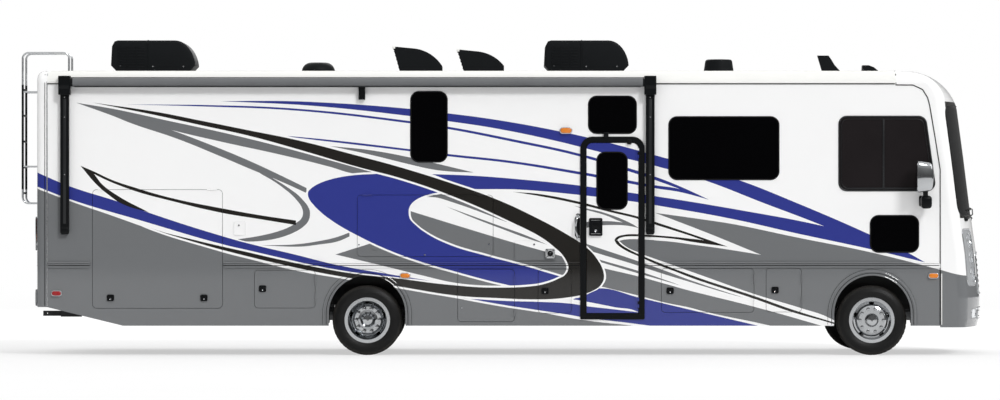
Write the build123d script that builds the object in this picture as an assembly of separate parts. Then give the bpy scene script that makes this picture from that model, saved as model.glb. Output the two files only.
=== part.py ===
from build123d import *

import os
from collections import namedtuple
from math import cos, radians, sin, sqrt

# Class A motorhome, in millimetres, seen in the photograph from its kerb side.
# Frame: +X forward, +Y towards the driver's side, +Z up. The origin is on the ground
# below the middle of the overall box. A side of -1 is the kerb side, +1 the driver's.

KERB, DRIVER = -1, 1

# Body shell
HALF_WIDTH = 1280.0
# Lengths below run from the photograph's middle; the nodes are written from the box's middle
MIDDLE_X = 47.0
WALL_T = 50.0
SKIRT_T = 40.0
CAP_T = 30.0
REAR_X = -5642.0
REAR_SEAM_X = -5515.0
REAR_EDGE_R = 80.0
FRONT_SEAM_X = 5350.0
SEAM_BEND_Z = 2260.0
SEAM_TOP_X = 5215.0
SEAM_TOP_Z = 3080.0
SEAM_CORNER_R = 200.0
ROOF_SEAM_X = 4812.0
SKIRT_BOTTOM_Z = 360.0
REAR_BOTTOM_Z = 587.0
REAR_RISE_X = -4591.0
BELT_Z = 1090.0
WALL_TOP_Z = 3305.0
ROOF_TOP_Z = 3460.0
ROOF_EDGE_R = 150.0
ROOF_T = 50.0
FLOOR_TOP_Z = 1125.0
FLOOR_T = 60.0

# Front cap: nose heights and reach, then a round crown into the roof
CAP_BOTTOM_Z = 340.0
NosePoint = namedtuple("NosePoint", "z x")
NOSE = (NosePoint(CAP_BOTTOM_Z, 5915.0), NosePoint(440.0, 5940.0), NosePoint(700.0, 5948.0),
        NosePoint(1230.0, 5905.0), NosePoint(1692.0, 5840.0), NosePoint(2400.0, 5752.0))
CROWN_X = 5060.0
CROWN_R = 640.0
CROWN_ANGLES = (18.0, 24.0, 30.0, 36.0, 43.0, 50.0, 57.0, 64.0, 71.0, 78.0, 84.0, 90.0)
FRONT_ARC_R, CROWN_ARC_R = 3000.0, 6500.0
FRONT_CORNER_R = 150.0
WINDSHIELD = namedtuple("Windshield", "half z0 z1 radius")(HALF_WIDTH - 65.0, 1700.0, 3045.0, 120.0)
GLASS_T = 6.0
GLASS_INSET = 3.0

# Wheels and axles
TYRE_R = 425.0
TYRE_W = 245.0
RIM_SEAT_R = 250.0
FRONT_AXLE_X = 4525.0
REAR_AXLE_X = -1622.0
WHEEL_Y = HALF_WIDTH - 197.0
DUAL_SPACING = 310.0
KINGPIN_Y = WHEEL_Y - 143.0
KINGPIN_R = 18.0
KNUCKLE_R = 42.0
SPINDLE_R = 35.0
REAR_SPINDLE_R = 45.0
DIFF_R = 165.0
LUG_COUNT = 10
LUG_CIRCLE_R = 142.9
HAND_HOLES = 5
HAND_HOLE_R = 211.0
RUNNING = 0.3

# Wheel arches
ARCH_Z = 505.0
ARCH_OPENING_R = 468.0
ARCH_TRIM_R = 540.0
ARCH_LEG = 700.0
HOUSING_T = 10.0
HOUSING_INNER_Y = 600.0
FRONT_HOUSING_R = 520.0
REAR_HOUSING_R = 480.0

# Chassis
RAIL_Y = 432.0
RAIL_W = 80.0
RAIL_Z0 = 600.0
RAIL_Z1 = 850.0
RAIL_T = 9.0
RAIL_FRONT_X = 5440.0
RAIL_REAR_X = -5430.0
BOLSTER_HALF = 630.0
BOLSTER_X = (-5150.0, -4300.0, -3300.0, -2400.0, -800.0, 300.0, 1880.0, 2800.0, 3800.0, 5200.0)
CROSS_X = (-5150.0, -4300.0, -3700.0, -3100.0, -2300.0, -800.0, 300.0, 1300.0, 2400.0, 3500.0)
BOLSTER_W = 60.0
CROSS_H = 60.0
HITCH_Z = 480.0
HITCH_INSIDE = 50.8
HITCH_WALL = 6.35
HITCH_MOUTH_X = -5690.0
HITCH_PIN_R = 8.0
HITCH_PIN_X = -5640.0

# Doors and hinges
DOOR_GAP = 5.0
LEAF_T = 25.0
HINGE_R = 7.0
HINGE_KNUCKLE = 40.0
HINGE_STRIP = 30.0
HINGE_CLEAR = 0.3
KNUCKLE_GAP = 0.5
LATCH_R = 38.0
LATCH_PROUD = 5.0
BAY_T = 10.0
BAY_INNER_Y = 640.0
BAY_MARGIN = 10.0
CABINET_DEPTH = 200.0

Door = namedtuple("Door", "name x0 x1 z0 z1 radius hinge bay")
BAY_DOORS = {
    KERB: (
        Door("bay_door_tall", -4966.0, -3378.0, 570.0, 2019.0, 55.0, "top", "tall"),
        Door("bay_door_rear", -2995.0, -2250.0, 573.0, 1038.0, 50.0, "front", "open"),
        Door("bay_door_upper", -1744.0, -86.0, 1198.0, 1953.0, 55.0, "top", "cabinet"),
        Door("bay_door_middle", -523.0, 175.0, 407.0, 1051.0, 50.0, "front", "open"),
        Door("bay_door_small", 456.0, 870.0, 511.0, 1050.0, 50.0, "front", "open"),
        Door("bay_door_long", 1955.0, 3088.0, 521.0, 1060.0, 50.0, "front", "open"),
        Door("bay_door_front", 3230.0, 3667.0, 525.0, 1064.0, 50.0, "front", "open"),
    ),
    DRIVER: (
        Door("left_bay_door_rear", -3800.0, -2700.0, 573.0, 1038.0, 50.0, "front", "open"),
        Door("left_bay_door_front", 1955.0, 3088.0, 521.0, 1060.0, 50.0, "front", "open"),
    ),
}

# Entry door and its frame on the kerb side
ENTRY = namedtuple("Entry", "x0 x1 z0 z1 top_r bottom_r")(971.0, 1755.0, 438.0, 2661.0, 150.0, 20.0)
ENTRY_RING_W = 73.0
ENTRY_PROUD = 15.0
ENTRY_LEAF_PROUD = 7.0
ENTRY_LEAF_T = 45.0
STEP_DEPTH = 235.0
STEP_T = 10.0

# Windows: frameless panes bonded flush in the walls
Window = namedtuple("Window", "x0 x1 z0 z1 radius")
PANE_T = 8.0
PANE_PROUD = 1.0
PANE_GAP = 0.4
WINDOWS = {
    KERB: (Window(-1090.0, -648.0, 2354.0, 3208.0, 100.0), Window(1073.0, 1653.0, 2700.0, 3152.0, 100.0),
           Window(2050.0, 3387.0, 2139.0, 2902.0, 100.0), Window(4501.0, 5087.0, 1255.0, 1700.0, 100.0)),
    DRIVER: (Window(-4300.0, -3300.0, 2139.0, 2902.0, 100.0),
             Window(4501.0, 5087.0, 1255.0, 1700.0, 100.0)),
}
CAB_WINDOW = namedtuple("CabWindow", "x0 bottom_x top_x z0 z1 radius")(
    4125.0, 5290.0, 5165.0, 2009.0, 2901.0, 90.0)
ENTRY_WINDOW = Window(1174.0, 1542.0, 1778.0, 2471.0, 100.0)

# Slide-out room on the driver's side
SLIDE = namedtuple("Slide", "x0 x1 z0 z1 depth")(-1200.0, 3000.0, 1150.0, 3150.0, 865.0)
SLIDE_GAP = 8.0
SLIDE_WALL_T = 40.0
SLIDE_FLANGE = 28.0
SLIDE_SEAL = 5.0
SLIDE_WINDOW = Window(200.0, 1700.0, 2139.0, 2902.0, 100.0)
RUNNER_X = (-770.0, 2530.0)
RUNNER_W = 60.0

# Roof equipment
AC_X0 = (-4820.0, 543.0)
AC_L, AC_W, AC_TOP_Z = 1045.0, 740.0, 3866.0
Hood = namedtuple("Hood", "x0 x1 height")
HOODS = (Hood(-1333.0, -723.0, 334.0), Hood(-537.0, 45.0, 298.0))
HOOD_W = 520.0
AC_FOOT, AC_TIP_H, AC_DRAFT = 90.0, 95.0, 8.0
HOOD_RAKE = 92.0
SKYLIGHT = namedtuple("Skylight", "x radius rim height")(-2266.0, 207.0, 25.0, 141.0)
DRUM = namedtuple("Drum", "x radius top_radius height")(2718.0, 191.0, 165.0, 179.0)
# Aerial outlines: along the roof, and up from its top
FIN_POINTS = ((4014.0, 0.0), (4240.0, 0.0), (4220.0, 44.0), (4160.0, 110.0), (4118.0, 180.0),
              (4083.0, 228.0), (3946.0, 228.0))
WEDGE_POINTS = ((4500.0, 0.0), (4700.0, 0.0), (4692.0, 44.0), (4640.0, 84.0), (4580.0, 106.0),
                (4506.0, 106.0))

# Awning on the kerb side
ROLLER_R = 53.0
ROLLER_OUT = 63.0
ROLLER_Z = 3320.0
ROLLER_X0, ROLLER_X1 = -5225.0, 1760.0
ARM_X = (-5296.0, 1821.0)
ARM_W = 105.0
ARM_PROUD = 60.0
ARM_Z0, ARM_Z1 = 1493.0, 3170.0
ARM_HEAD_Z1 = 3398.0
CRADLE_X = -1684.0

# Ladder on the rear cap
LADDER_TUBE_R = 12.5
LADDER_X = -5846.0
LADDER_Y = (-950.0, -550.0)
LADDER_Z0, LADDER_Z1 = 1850.0, 3691.0
LADDER_ROOF_X = -5280.0
LADDER_BEND_R = 70.0
RUNG_Z0, RUNG_PITCH, RUNG_COUNT = 1972.0, 316.0, 5
STANDOFF_Z = (2300.0, 3213.0)

# Mirrors: a head on an arm at each cab side
MIRROR_X = 5135.0
MIRROR_ARM_X0, MIRROR_ARM_X1 = 5112.0, 5200.0
MIRROR_ARM_Z0, MIRROR_ARM_Z1 = 1830.0, 1925.0
MIRROR_FOOT_GROW = 20.0
MIRROR_FOOT_PROUD = 40.0
MIRROR_OUT = 350.0
MIRROR_HEAD_W = 240.0
MIRROR_NECK = (200.0, 130.0)
MirrorHead = namedtuple("MirrorHead", "z length height radius")
MIRROR_HEAD = MirrorHead(2172.0, 195.0, 415.0, 60.0)

# Cab and other fittings
DASH_GAP = 50.0
BELT_H, BELT_PROUD = 50.0, 12.0
BELT_RUNS = {KERB: ((-5515.0, -4990.0), (-3370.0, 965.0), (1760.0, 5350.0)),
             DRIVER: ((-5515.0, 5350.0),)}
SEAT_Y = 560.0

# Front face openings: centre y, centre z, width, height and corner radius
FaceOpening = namedtuple("FaceOpening", "y z width height radius")
GRILLE_OPENING = FaceOpening(0.0, 990.0, 1240.0, 520.0, 60.0)
INTAKE_OPENING = FaceOpening(0.0, 500.0, 1400.0, 150.0, 40.0)
LAMP_Y, FOG_Y = HALF_WIDTH - 295.0, HALF_WIDTH - 360.0
LAMP_OPENINGS = tuple(FaceOpening(side * LAMP_Y, 1190.0, 420.0, 700.0, 80.0) for side in (KERB, DRIVER))
FOG_OPENINGS = tuple(FaceOpening(side * FOG_Y, 500.0, 230.0, 120.0, 40.0) for side in (KERB, DRIVER))
GRILLE_FRAME_W = 34.0
GRILLE_BARS = 6
GRILLE_BAR_H = 26.0
INTAKE_BARS = 2
LAMP_BOWLS = (1400.0, 1190.0, 980.0)
LAMP_BOWL_R = 90.0
LAMP_BOWL_Y = HALF_WIDTH - 345.0

# Rear face: lamps, bumper and plate recess
REAR_LAMP = FaceOpening(HALF_WIDTH - 150.0, 1480.0, 130.0, 420.0, 30.0)
BUMPER_Z0, BUMPER_Z1, BUMPER_PROUD = 600.0, 800.0, 22.0
PLATE_RECESS = FaceOpening(0.0, 950.0, 340.0, 190.0, 10.0)

# Side lamps, hatches and the water inlet on the kerb side
LampSpot = namedtuple("LampSpot", "x0 x1 z0 z1")
PORCH_LAMP = LampSpot(713.0, 883.0, 2688.0, 2781.0)
SIDE_LAMPS = (LampSpot(-5457.0, -5340.0, 720.0, 788.0), LampSpot(-1214.0, -1103.0, 940.0, 999.0),
              LampSpot(5205.0, 5328.0, 933.0, 1004.0))
LAMP_PROUD = 16.0
HATCHES = (LampSpot(-3241.0, -3101.0, 1462.0, 1632.0), LampSpot(171.0, 671.0, 1154.0, 1400.0))
HATCH_PROUD = 6.0
INLET = namedtuple("Inlet", "x z size proud radius depth")(605.5, 1240.0, 116.0, 36.0, 12.7, 30.0)


def outline(*points):
    """Closed straight-edged face through the points."""
    return make_face(Polyline(*points, close=True))


def side_solid(sketch, inner, outer, side):
    """Extrude an (x, z) sketch between two distances from the centre plane on one side."""
    plane = Plane(origin=(0, max(side * inner, side * outer), 0), x_dir=(1, 0, 0), z_dir=(0, -1, 0))
    return extrude(plane * sketch, amount=abs(outer - inner))


def front_solid(sketch, x_low, x_high):
    """Extrude a (y, z) sketch between two x planes."""
    plane = Plane(origin=(x_low, 0, 0), x_dir=(0, 1, 0), z_dir=(1, 0, 0))
    return extrude(plane * sketch, amount=x_high - x_low)


def block(x0, x1, y0, y1, z0, z1):
    """Box between the given planes."""
    return Pos((x0 + x1) / 2, (y0 + y1) / 2, (z0 + z1) / 2) * Box(x1 - x0, y1 - y0, z1 - z0)


def side_block(x0, x1, inner, outer, z0, z1, side):
    """Box between two distances from the centre plane on one side."""
    return block(x0, x1, min(side * inner, side * outer), max(side * inner, side * outer), z0, z1)


def rod(start, end, radius):
    """Round bar between two points."""
    start, end = Vector(*start), Vector(*end)
    plane = Plane(origin=start, z_dir=end - start)
    return plane * extrude(Circle(radius), amount=(end - start).length)


def panel(p, grow=0.0):
    """Rounded rectangle (x, z) of a door or window, grown or shrunk all round."""
    face = RectangleRounded(p.x1 - p.x0 + 2 * grow, p.z1 - p.z0 + 2 * grow, p.radius + grow)
    return Pos((p.x0 + p.x1) / 2, (p.z0 + p.z1) / 2) * face


def corners_near(face, *points):
    """The vertices of a face that lie nearest to the given (x, y) points."""
    return [face.vertices().sort_by_distance((x, y, 0))[0] for x, y in points]


def arch(radius, axle_x):
    """Round-topped arch: a disc at the arch centre with its sides carried down."""
    disc = Pos(axle_x, ARCH_Z) * Circle(radius)
    legs = Pos(axle_x, ARCH_Z - ARCH_LEG / 2) * Rectangle(2 * radius, ARCH_LEG)
    return disc + legs


def seam_outline(x_low, z_low):
    """Side outline of the walls up to the front cap's seam, with its rounded top corner."""
    lean = (FRONT_SEAM_X - SEAM_TOP_X) / (SEAM_TOP_Z - SEAM_BEND_Z)
    corner = (FRONT_SEAM_X - lean * (WALL_TOP_Z - SEAM_BEND_Z), WALL_TOP_Z)
    face = outline((x_low, z_low), (FRONT_SEAM_X, z_low), (FRONT_SEAM_X, SEAM_BEND_Z), corner,
                   (x_low, WALL_TOP_Z))
    return fillet(corners_near(face, corner), SEAM_CORNER_R)


def skirt_outline():
    """Side outline of the lower body, rising towards the rear, with both arches cut."""
    face = outline((REAR_SEAM_X, REAR_BOTTOM_Z), (REAR_RISE_X, SKIRT_BOTTOM_Z),
                   (FRONT_SEAM_X, SKIRT_BOTTOM_Z), (FRONT_SEAM_X, BELT_Z), (REAR_SEAM_X, BELT_Z))
    return face - arch(ARCH_OPENING_R, FRONT_AXLE_X) - arch(ARCH_OPENING_R, REAR_AXLE_X)


def entry_outline(inset=0.0):
    """Entry frame outline, drawn in by the inset."""
    x0, x1 = ENTRY.x0 + inset, ENTRY.x1 - inset
    z0, z1 = ENTRY.z0 + inset, ENTRY.z1 - inset
    face = outline((x0, z0), (x1, z0), (x1, z1), (x0, z1))
    face = fillet(corners_near(face, (x0, z1), (x1, z1)), ENTRY.top_r - inset)
    return fillet(corners_near(face, (x0, z0), (x1, z0)), max(ENTRY.bottom_r - inset, 5.0))


def cab_window_outline(grow=0.0):
    """Cab side window, whose front edge leans with the seam."""
    w = CAB_WINDOW
    points = ((w.x0 - grow, w.z0 - grow), (w.bottom_x + grow, w.z0 - grow),
              (w.top_x + grow, w.z1 + grow), (w.x0 - grow, w.z1 + grow))
    return fillet(outline(*points).vertices(), w.radius + grow)


def cap_section(z, nose, half, corner_r, arc_r):
    """Plan outline of the front cap at one height: side lines, corner arcs and a wide front arc."""
    rear = ROOF_SEAM_X - 2 * WALL_T
    corner_y = half - corner_r
    corner_x = nose - arc_r + sqrt((arc_r - corner_r) ** 2 - corner_y ** 2)
    centre_x = nose - arc_r
    reach = arc_r / (arc_r - corner_r)
    tangent_x = centre_x + (corner_x - centre_x) * reach
    tangent_y = corner_y * reach
    middle = Vector(tangent_x - corner_x, tangent_y - corner_y).normalized() + Vector(0, 1)
    middle = Vector(corner_x, corner_y) + middle.normalized() * corner_r
    edges = [
        Line((rear, -half, z), (corner_x, -half, z)),
        ThreePointArc((corner_x, -half, z), (middle.X, -middle.Y, z), (tangent_x, -tangent_y, z)),
        ThreePointArc((tangent_x, -tangent_y, z), (nose, 0, z), (tangent_x, tangent_y, z)),
        ThreePointArc((tangent_x, tangent_y, z), (middle.X, middle.Y, z), (corner_x, half, z)),
        Line((corner_x, half, z), (rear, half, z)),
        Line((rear, half, z), (rear, -half, z)),
    ]
    return Wire(edges)


def cap_form(inset, below=0.0):
    """Solid form of the front cap, drawn in by the inset and carried below its lower edge."""
    corner_r, arc_r = FRONT_CORNER_R - inset, FRONT_ARC_R - inset
    edge_r = ROOF_EDGE_R - inset
    sections = []
    if below:
        sections.append(cap_section(CAP_BOTTOM_Z - below, NOSE[0].x - inset, HALF_WIDTH - inset,
                                    corner_r, arc_r))
    for point in NOSE:
        sections.append(cap_section(point.z, point.x - inset, HALF_WIDTH - inset, corner_r, arc_r))
    for angle in CROWN_ANGLES:
        z = ROOF_TOP_Z - CROWN_R + (CROWN_R - inset) * sin(radians(angle))
        nose = CROWN_X + (CROWN_R - inset) * cos(radians(angle))
        over = max(z - (ROOF_TOP_Z - ROOF_EDGE_R), 0.0)
        half = HALF_WIDTH - ROOF_EDGE_R + sqrt(max(edge_r ** 2 - over ** 2, 0.0))
        share = (angle - CROWN_ANGLES[0]) / (CROWN_ANGLES[-1] - CROWN_ANGLES[0])
        plan_r = arc_r + share * (CROWN_ARC_R - FRONT_ARC_R)
        sections.append(cap_section(z, nose, half, corner_r, plan_r))
    return Solid.make_loft(sections, True)


def rounded(width, height, radius, y=0.0, z=0.0):
    """Rounded rectangle in the front view."""
    return Pos(y, z) * RectangleRounded(width, height, radius)


def windshield_outline(grow=0.0):
    """Outline of the windshield in the front view."""
    w = WINDSHIELD
    return rounded(2 * (w.half + grow), w.z1 - w.z0 + 2 * grow, w.radius + grow, 0.0, (w.z0 + w.z1) / 2)


def face_opening(opening, grow=0.0):
    """Outline of one opening of the front face, grown or shrunk all round."""
    return rounded(opening.width + 2 * grow, opening.height + 2 * grow, opening.radius + grow,
                   opening.y, opening.z)


def front_cut(sketch):
    """Cutter through the front face only."""
    return front_solid(sketch, FRONT_SEAM_X + 10.0, NOSE[2].x + 50.0)


def front_cap():
    """Moulded front cap, its openings cut through, with the form it was cut from."""
    outer = cap_form(0.0)
    region = block(ROOF_SEAM_X, NOSE[2].x + 50.0, -HALF_WIDTH - 50.0, HALF_WIDTH + 50.0,
                   CAP_BOTTOM_Z - 50.0, ROOF_TOP_Z + 50.0)
    walls = side_solid(seam_outline(REAR_SEAM_X, 0.0), -HALF_WIDTH - 60.0, HALF_WIDTH + 60.0, DRIVER)
    cap = (Part() + outer - cap_form(CAP_T, 100.0)) & (region - walls)
    for sketch in [windshield_outline()] + [face_opening(o) for o in
                                            (GRILLE_OPENING, INTAKE_OPENING) + LAMP_OPENINGS + FOG_OPENINGS]:
        cap -= front_cut(sketch)
    return cap


def cap_skin(outer_inset, inner_inset, sketch):
    """Piece of a thin skin parallel to the cap's face, inside a front-view outline."""
    skin = Part() + cap_form(outer_inset) - cap_form(inner_inset, 50.0)
    return skin & front_cut(sketch)


def windshield():
    """Glass that follows the cap, set just inside its face."""
    return cap_skin(GLASS_INSET, GLASS_INSET + GLASS_T, windshield_outline(-PANE_GAP))


def grille():
    """Upper grille and lower intake, each a frame with level bars that follow the face."""
    pieces = []
    for opening, bars in ((GRILLE_OPENING, GRILLE_BARS), (INTAKE_OPENING, INTAKE_BARS)):
        inside = face_opening(opening, -GRILLE_FRAME_W)
        lattice = face_opening(opening, -PANE_GAP) - inside
        pitch = (opening.height - 2 * GRILLE_FRAME_W) / (bars + 1)
        low = opening.z - opening.height / 2 + GRILLE_FRAME_W
        for i in range(bars):
            bar = Pos(opening.y, low + (i + 1) * pitch) * Rectangle(opening.width - GRILLE_FRAME_W,
                                                                   GRILLE_BAR_H)
            lattice += bar
        pieces.append(cap_skin(-6.0, CAP_T, lattice))
    return pieces


def headlamps():
    """Lamp clusters: a bezel that follows the corner, with round bowls and their lenses."""
    pieces = []
    for opening, side in zip(LAMP_OPENINGS, (KERB, DRIVER)):
        bezel = cap_skin(-4.0, CAP_T, face_opening(opening, -PANE_GAP))
        for z in LAMP_BOWLS:
            bowl = Pos(side * LAMP_BOWL_Y, z) * Circle(LAMP_BOWL_R)
            bezel -= front_cut(bowl)
            pieces.append(cap_skin(4.0, 20.0, Pos(side * LAMP_BOWL_Y, z) * Circle(LAMP_BOWL_R - PANE_GAP)))
        pieces.append(bezel)
    for opening in FOG_OPENINGS:
        pieces.append(cap_skin(2.0, CAP_T, face_opening(opening, -PANE_GAP)))
    return pieces


def roof():
    """Roof shell with rounded long edges, from the rear seam to the front cap."""
    def section(inset, low):
        half, top, radius = HALF_WIDTH - inset, ROOF_TOP_Z - inset, ROOF_EDGE_R - inset
        face = outline((-half, low), (half, low), (half, top), (-half, top))
        return fillet(corners_near(face, (-half, top), (half, top)), radius)
    shell = front_solid(section(0.0, WALL_TOP_Z) - section(ROOF_T, WALL_TOP_Z - 100.0),
                        REAR_SEAM_X, ROOF_SEAM_X)
    return shell


def rear_cap():
    """Rear cap: a shell with rounded edges, its bumper step and a plate recess."""
    def form(inset, x_low, x_high, z_low, edge_r):
        half, top, radius = HALF_WIDTH - inset, ROOF_TOP_Z - inset, ROOF_EDGE_R - inset
        face = outline((-half, z_low), (half, z_low), (half, top), (-half, top))
        face = fillet(corners_near(face, (-half, top), (half, top)), radius)
        solid = front_solid(face, x_low, x_high)
        rear_edges = [e for e in solid.faces().sort_by(Axis.X)[0].edges()
                      if e.center().Z > z_low + 1.0]
        return fillet(rear_edges, edge_r)
    cap = form(0.0, REAR_X, REAR_SEAM_X, REAR_BOTTOM_Z, REAR_EDGE_R)
    hollow = form(CAP_T, REAR_X + CAP_T, REAR_SEAM_X + 100.0, REAR_BOTTOM_Z - 100.0, REAR_EDGE_R - CAP_T)
    cap -= hollow
    cap -= front_solid(rounded(PLATE_RECESS.width, PLATE_RECESS.height, PLATE_RECESS.radius,
                               PLATE_RECESS.y, PLATE_RECESS.z), REAR_X - 50.0, REAR_X + 12.0)
    for side in (KERB, DRIVER):
        cap -= front_solid(rounded(REAR_LAMP.width, REAR_LAMP.height, REAR_LAMP.radius,
                                   side * REAR_LAMP.y, REAR_LAMP.z), REAR_X - 50.0, REAR_X + 12.0)
    bumper = front_solid(rounded(2 * HALF_WIDTH - 120.0, BUMPER_Z1 - BUMPER_Z0, 60.0, 0.0,
                                 (BUMPER_Z0 + BUMPER_Z1) / 2), REAR_X - BUMPER_PROUD, REAR_X + 10.0)
    return cap + bumper


def hinge_plane(door, side, proud=0.0):
    """Hinge axis frame: local Z is the axis, local -X runs into the leaf, local -Y outwards."""
    axis_y = side * (HALF_WIDTH + proud + HINGE_CLEAR + HINGE_R)
    if door.hinge == "front":
        origin = (door.x1 - DOOR_GAP / 2, axis_y, (door.z0 + door.z1) / 2)
        return Plane(origin=origin, x_dir=(1, 0, 0), z_dir=(0, 0, -side))
    origin = ((door.x0 + door.x1) / 2, axis_y, door.z1 - DOOR_GAP / 2)
    return Plane(origin=origin, x_dir=(0, 0, 1), z_dir=(side, 0, 0))


def hinge(plane, along, leaf_drop, wall_drop):
    """One hinge at a distance along the axis: its two moving knuckles and its fixed one."""
    def knuckle(z_mid, length, x_sign, drop):
        barrel = Pos(0, 0, z_mid) * Cylinder(HINGE_R, length)
        strip = Pos(x_sign * HINGE_STRIP / 2, (4.0 + drop) / 2, z_mid) * Box(HINGE_STRIP, drop - 4.0, length)
        return plane.location * (barrel + strip)
    step = HINGE_KNUCKLE + KNUCKLE_GAP
    moving = [knuckle(along + shift, HINGE_KNUCKLE, -1, leaf_drop) for shift in (-step, step)]
    fixed = knuckle(along, HINGE_KNUCKLE, 1, wall_drop)
    return moving, fixed


def hung_leaf(door, side, leaf, leaf_drop, wall_drop, proud=0.0):
    """Add two hinges to a leaf; return the leaf and the fixed halves for what carries it."""
    plane = hinge_plane(door, side, proud)
    edge = door.z1 - door.z0 if door.hinge == "front" else door.x1 - door.x0
    fixed = []
    for along in (-edge / 2 + 130.0, edge / 2 - 130.0):
        moving, still = hinge(plane, along, leaf_drop, wall_drop)
        for piece in moving:
            leaf += piece
        fixed.append(still)
    return leaf, fixed


def latch_spots(door):
    """Where a bay door's paddle latches sit."""
    if door.hinge == "front":
        return [(door.x0 + 108.0, (door.z0 + door.z1) / 2)]
    return [(door.x0 + 223.0, door.z0 + 115.0), (door.x1 - 228.0, door.z0 + 115.0)]


def bay_door(door, side):
    """Storage door leaf with its latches and the moving halves of its hinges."""
    leaf = side_solid(panel(door, -DOOR_GAP), HALF_WIDTH - LEAF_T, HALF_WIDTH, side)
    for x, z in latch_spots(door):
        leaf += side_solid(Pos(x, z) * Circle(LATCH_R), HALF_WIDTH - 1.0, HALF_WIDTH + LATCH_PROUD, side)
    drop = HINGE_R + HINGE_CLEAR
    return hung_leaf(door, side, leaf, drop, drop)


def entry_door():
    """Entry door leaf with its window opening, latch and hinges."""
    inset = ENTRY_RING_W + DOOR_GAP
    outer = HALF_WIDTH + ENTRY_LEAF_PROUD
    leaf = side_solid(entry_outline(inset), outer - ENTRY_LEAF_T, outer, KERB)
    leaf -= side_solid(panel(ENTRY_WINDOW), outer - ENTRY_LEAF_T - 10.0, outer + 10.0, KERB)
    latch = Pos((1081.0 + 1238.0) / 2, (1456.0 + 1668.0) / 2) * RectangleRounded(157.0, 212.0, 14.0)
    leaf += side_solid(latch, outer - 1.0, outer + 14.0, KERB)
    door = Door("entry_door", ENTRY.x0 + ENTRY_RING_W, ENTRY.x1 - ENTRY_RING_W, ENTRY.z0 + ENTRY_RING_W,
                ENTRY.z1 - ENTRY_RING_W, 77.0, "front", "")
    wall_drop = HINGE_R + HINGE_CLEAR
    leaf_drop = wall_drop + ENTRY_PROUD - ENTRY_LEAF_PROUD
    return hung_leaf(door, KERB, leaf, leaf_drop, wall_drop, ENTRY_PROUD)


def entry_frame(fixed_hinges):
    """Ring round the entry door, with the fixed halves of its hinges."""
    ring = side_solid(entry_outline() - entry_outline(ENTRY_RING_W), HALF_WIDTH - WALL_T,
                      HALF_WIDTH + ENTRY_PROUD, KERB)
    for piece in fixed_hinges:
        ring += piece
    return ring


def cut_side(shape, side):
    """Cut the door, window and entry openings of one side out of a wall or skirt."""
    inner, outer = HALF_WIDTH - WALL_T - 20.0, HALF_WIDTH + 20.0
    for door in BAY_DOORS[side]:
        shape -= side_solid(panel(door), inner, outer, side)
    for window in WINDOWS[side]:
        shape -= side_solid(panel(window), inner, outer, side)
    shape -= side_solid(cab_window_outline(), inner, outer, side)
    if side == KERB:
        shape -= side_solid(entry_outline(), inner, outer, side)
    else:
        shape -= side_block(SLIDE.x0, SLIDE.x1, inner, outer, SLIDE.z0, SLIDE.z1, side)
    return shape


def side_windows():
    """Panes set flush in the walls of both sides."""
    panes = []
    outer = HALF_WIDTH + PANE_PROUD
    for side in (KERB, DRIVER):
        for window in WINDOWS[side]:
            panes.append(side_solid(panel(window, -PANE_GAP), outer - PANE_T, outer, side))
        panes.append(side_solid(cab_window_outline(-PANE_GAP), outer - PANE_T, outer, side))
    return panes


def bay(door, side):
    """Storage bay behind a door: a tray hung from the floor, or a box closed all round."""
    x0, x1 = door.x0 - BAY_MARGIN, door.x1 + BAY_MARGIN
    inner = BAY_INNER_Y
    outer = HALF_WIDTH - SKIRT_T
    z0 = door.z0 - BAY_MARGIN
    z1 = FLOOR_TOP_Z - FLOOR_T
    if door.bay == "tall":
        z1 = door.z1 + BAY_MARGIN
    if door.bay == "cabinet":
        outer = HALF_WIDTH - WALL_T
        inner = outer - CABINET_DEPTH
        z1 = door.z1 + BAY_MARGIN
    shell = side_block(x0 - BAY_T, x1 + BAY_T, inner, outer, z0 - BAY_T, z1 + BAY_T, side)
    hollow = side_block(x0, x1, inner + BAY_T, outer + 1.0, z0, z1, side)
    if door.bay == "open":
        shell = side_block(x0 - BAY_T, x1 + BAY_T, inner, outer, z0 - BAY_T, z1, side)
    shell -= hollow
    if door.bay == "tall":
        shell -= side_block(x0 - 50.0, x1 + 50.0, HALF_WIDTH - WALL_T, outer + 1.0, BELT_Z, z1 + 50.0, side)
    return shell


def wheel_housings():
    """Arch sheets over the wheels, each with its inner closing plate."""
    pieces = []
    for axle_x, radius in ((FRONT_AXLE_X, FRONT_HOUSING_R), (REAR_AXLE_X, REAR_HOUSING_R)):
        for side in (KERB, DRIVER):
            ring = arch(radius + HOUSING_T, axle_x) - arch(radius, axle_x)
            sheet = side_solid(ring, HOUSING_INNER_Y - HOUSING_T, HALF_WIDTH - SKIRT_T, side)
            plate = side_solid(arch(radius + HOUSING_T, axle_x), HOUSING_INNER_Y - HOUSING_T,
                               HOUSING_INNER_Y, side)
            plate -= side_block(axle_x - 700.0, axle_x + 700.0, HOUSING_INNER_Y - 50.0,
                                HOUSING_INNER_Y + 50.0, -ARCH_LEG, RAIL_Z1, side)
            sheet -= side_block(axle_x - 700.0, axle_x + 700.0, HOUSING_INNER_Y - 50.0, HALF_WIDTH,
                                -ARCH_LEG, SKIRT_BOTTOM_Z + 20.0, side)
            pieces.append(sheet + plate)
    return pieces


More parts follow.
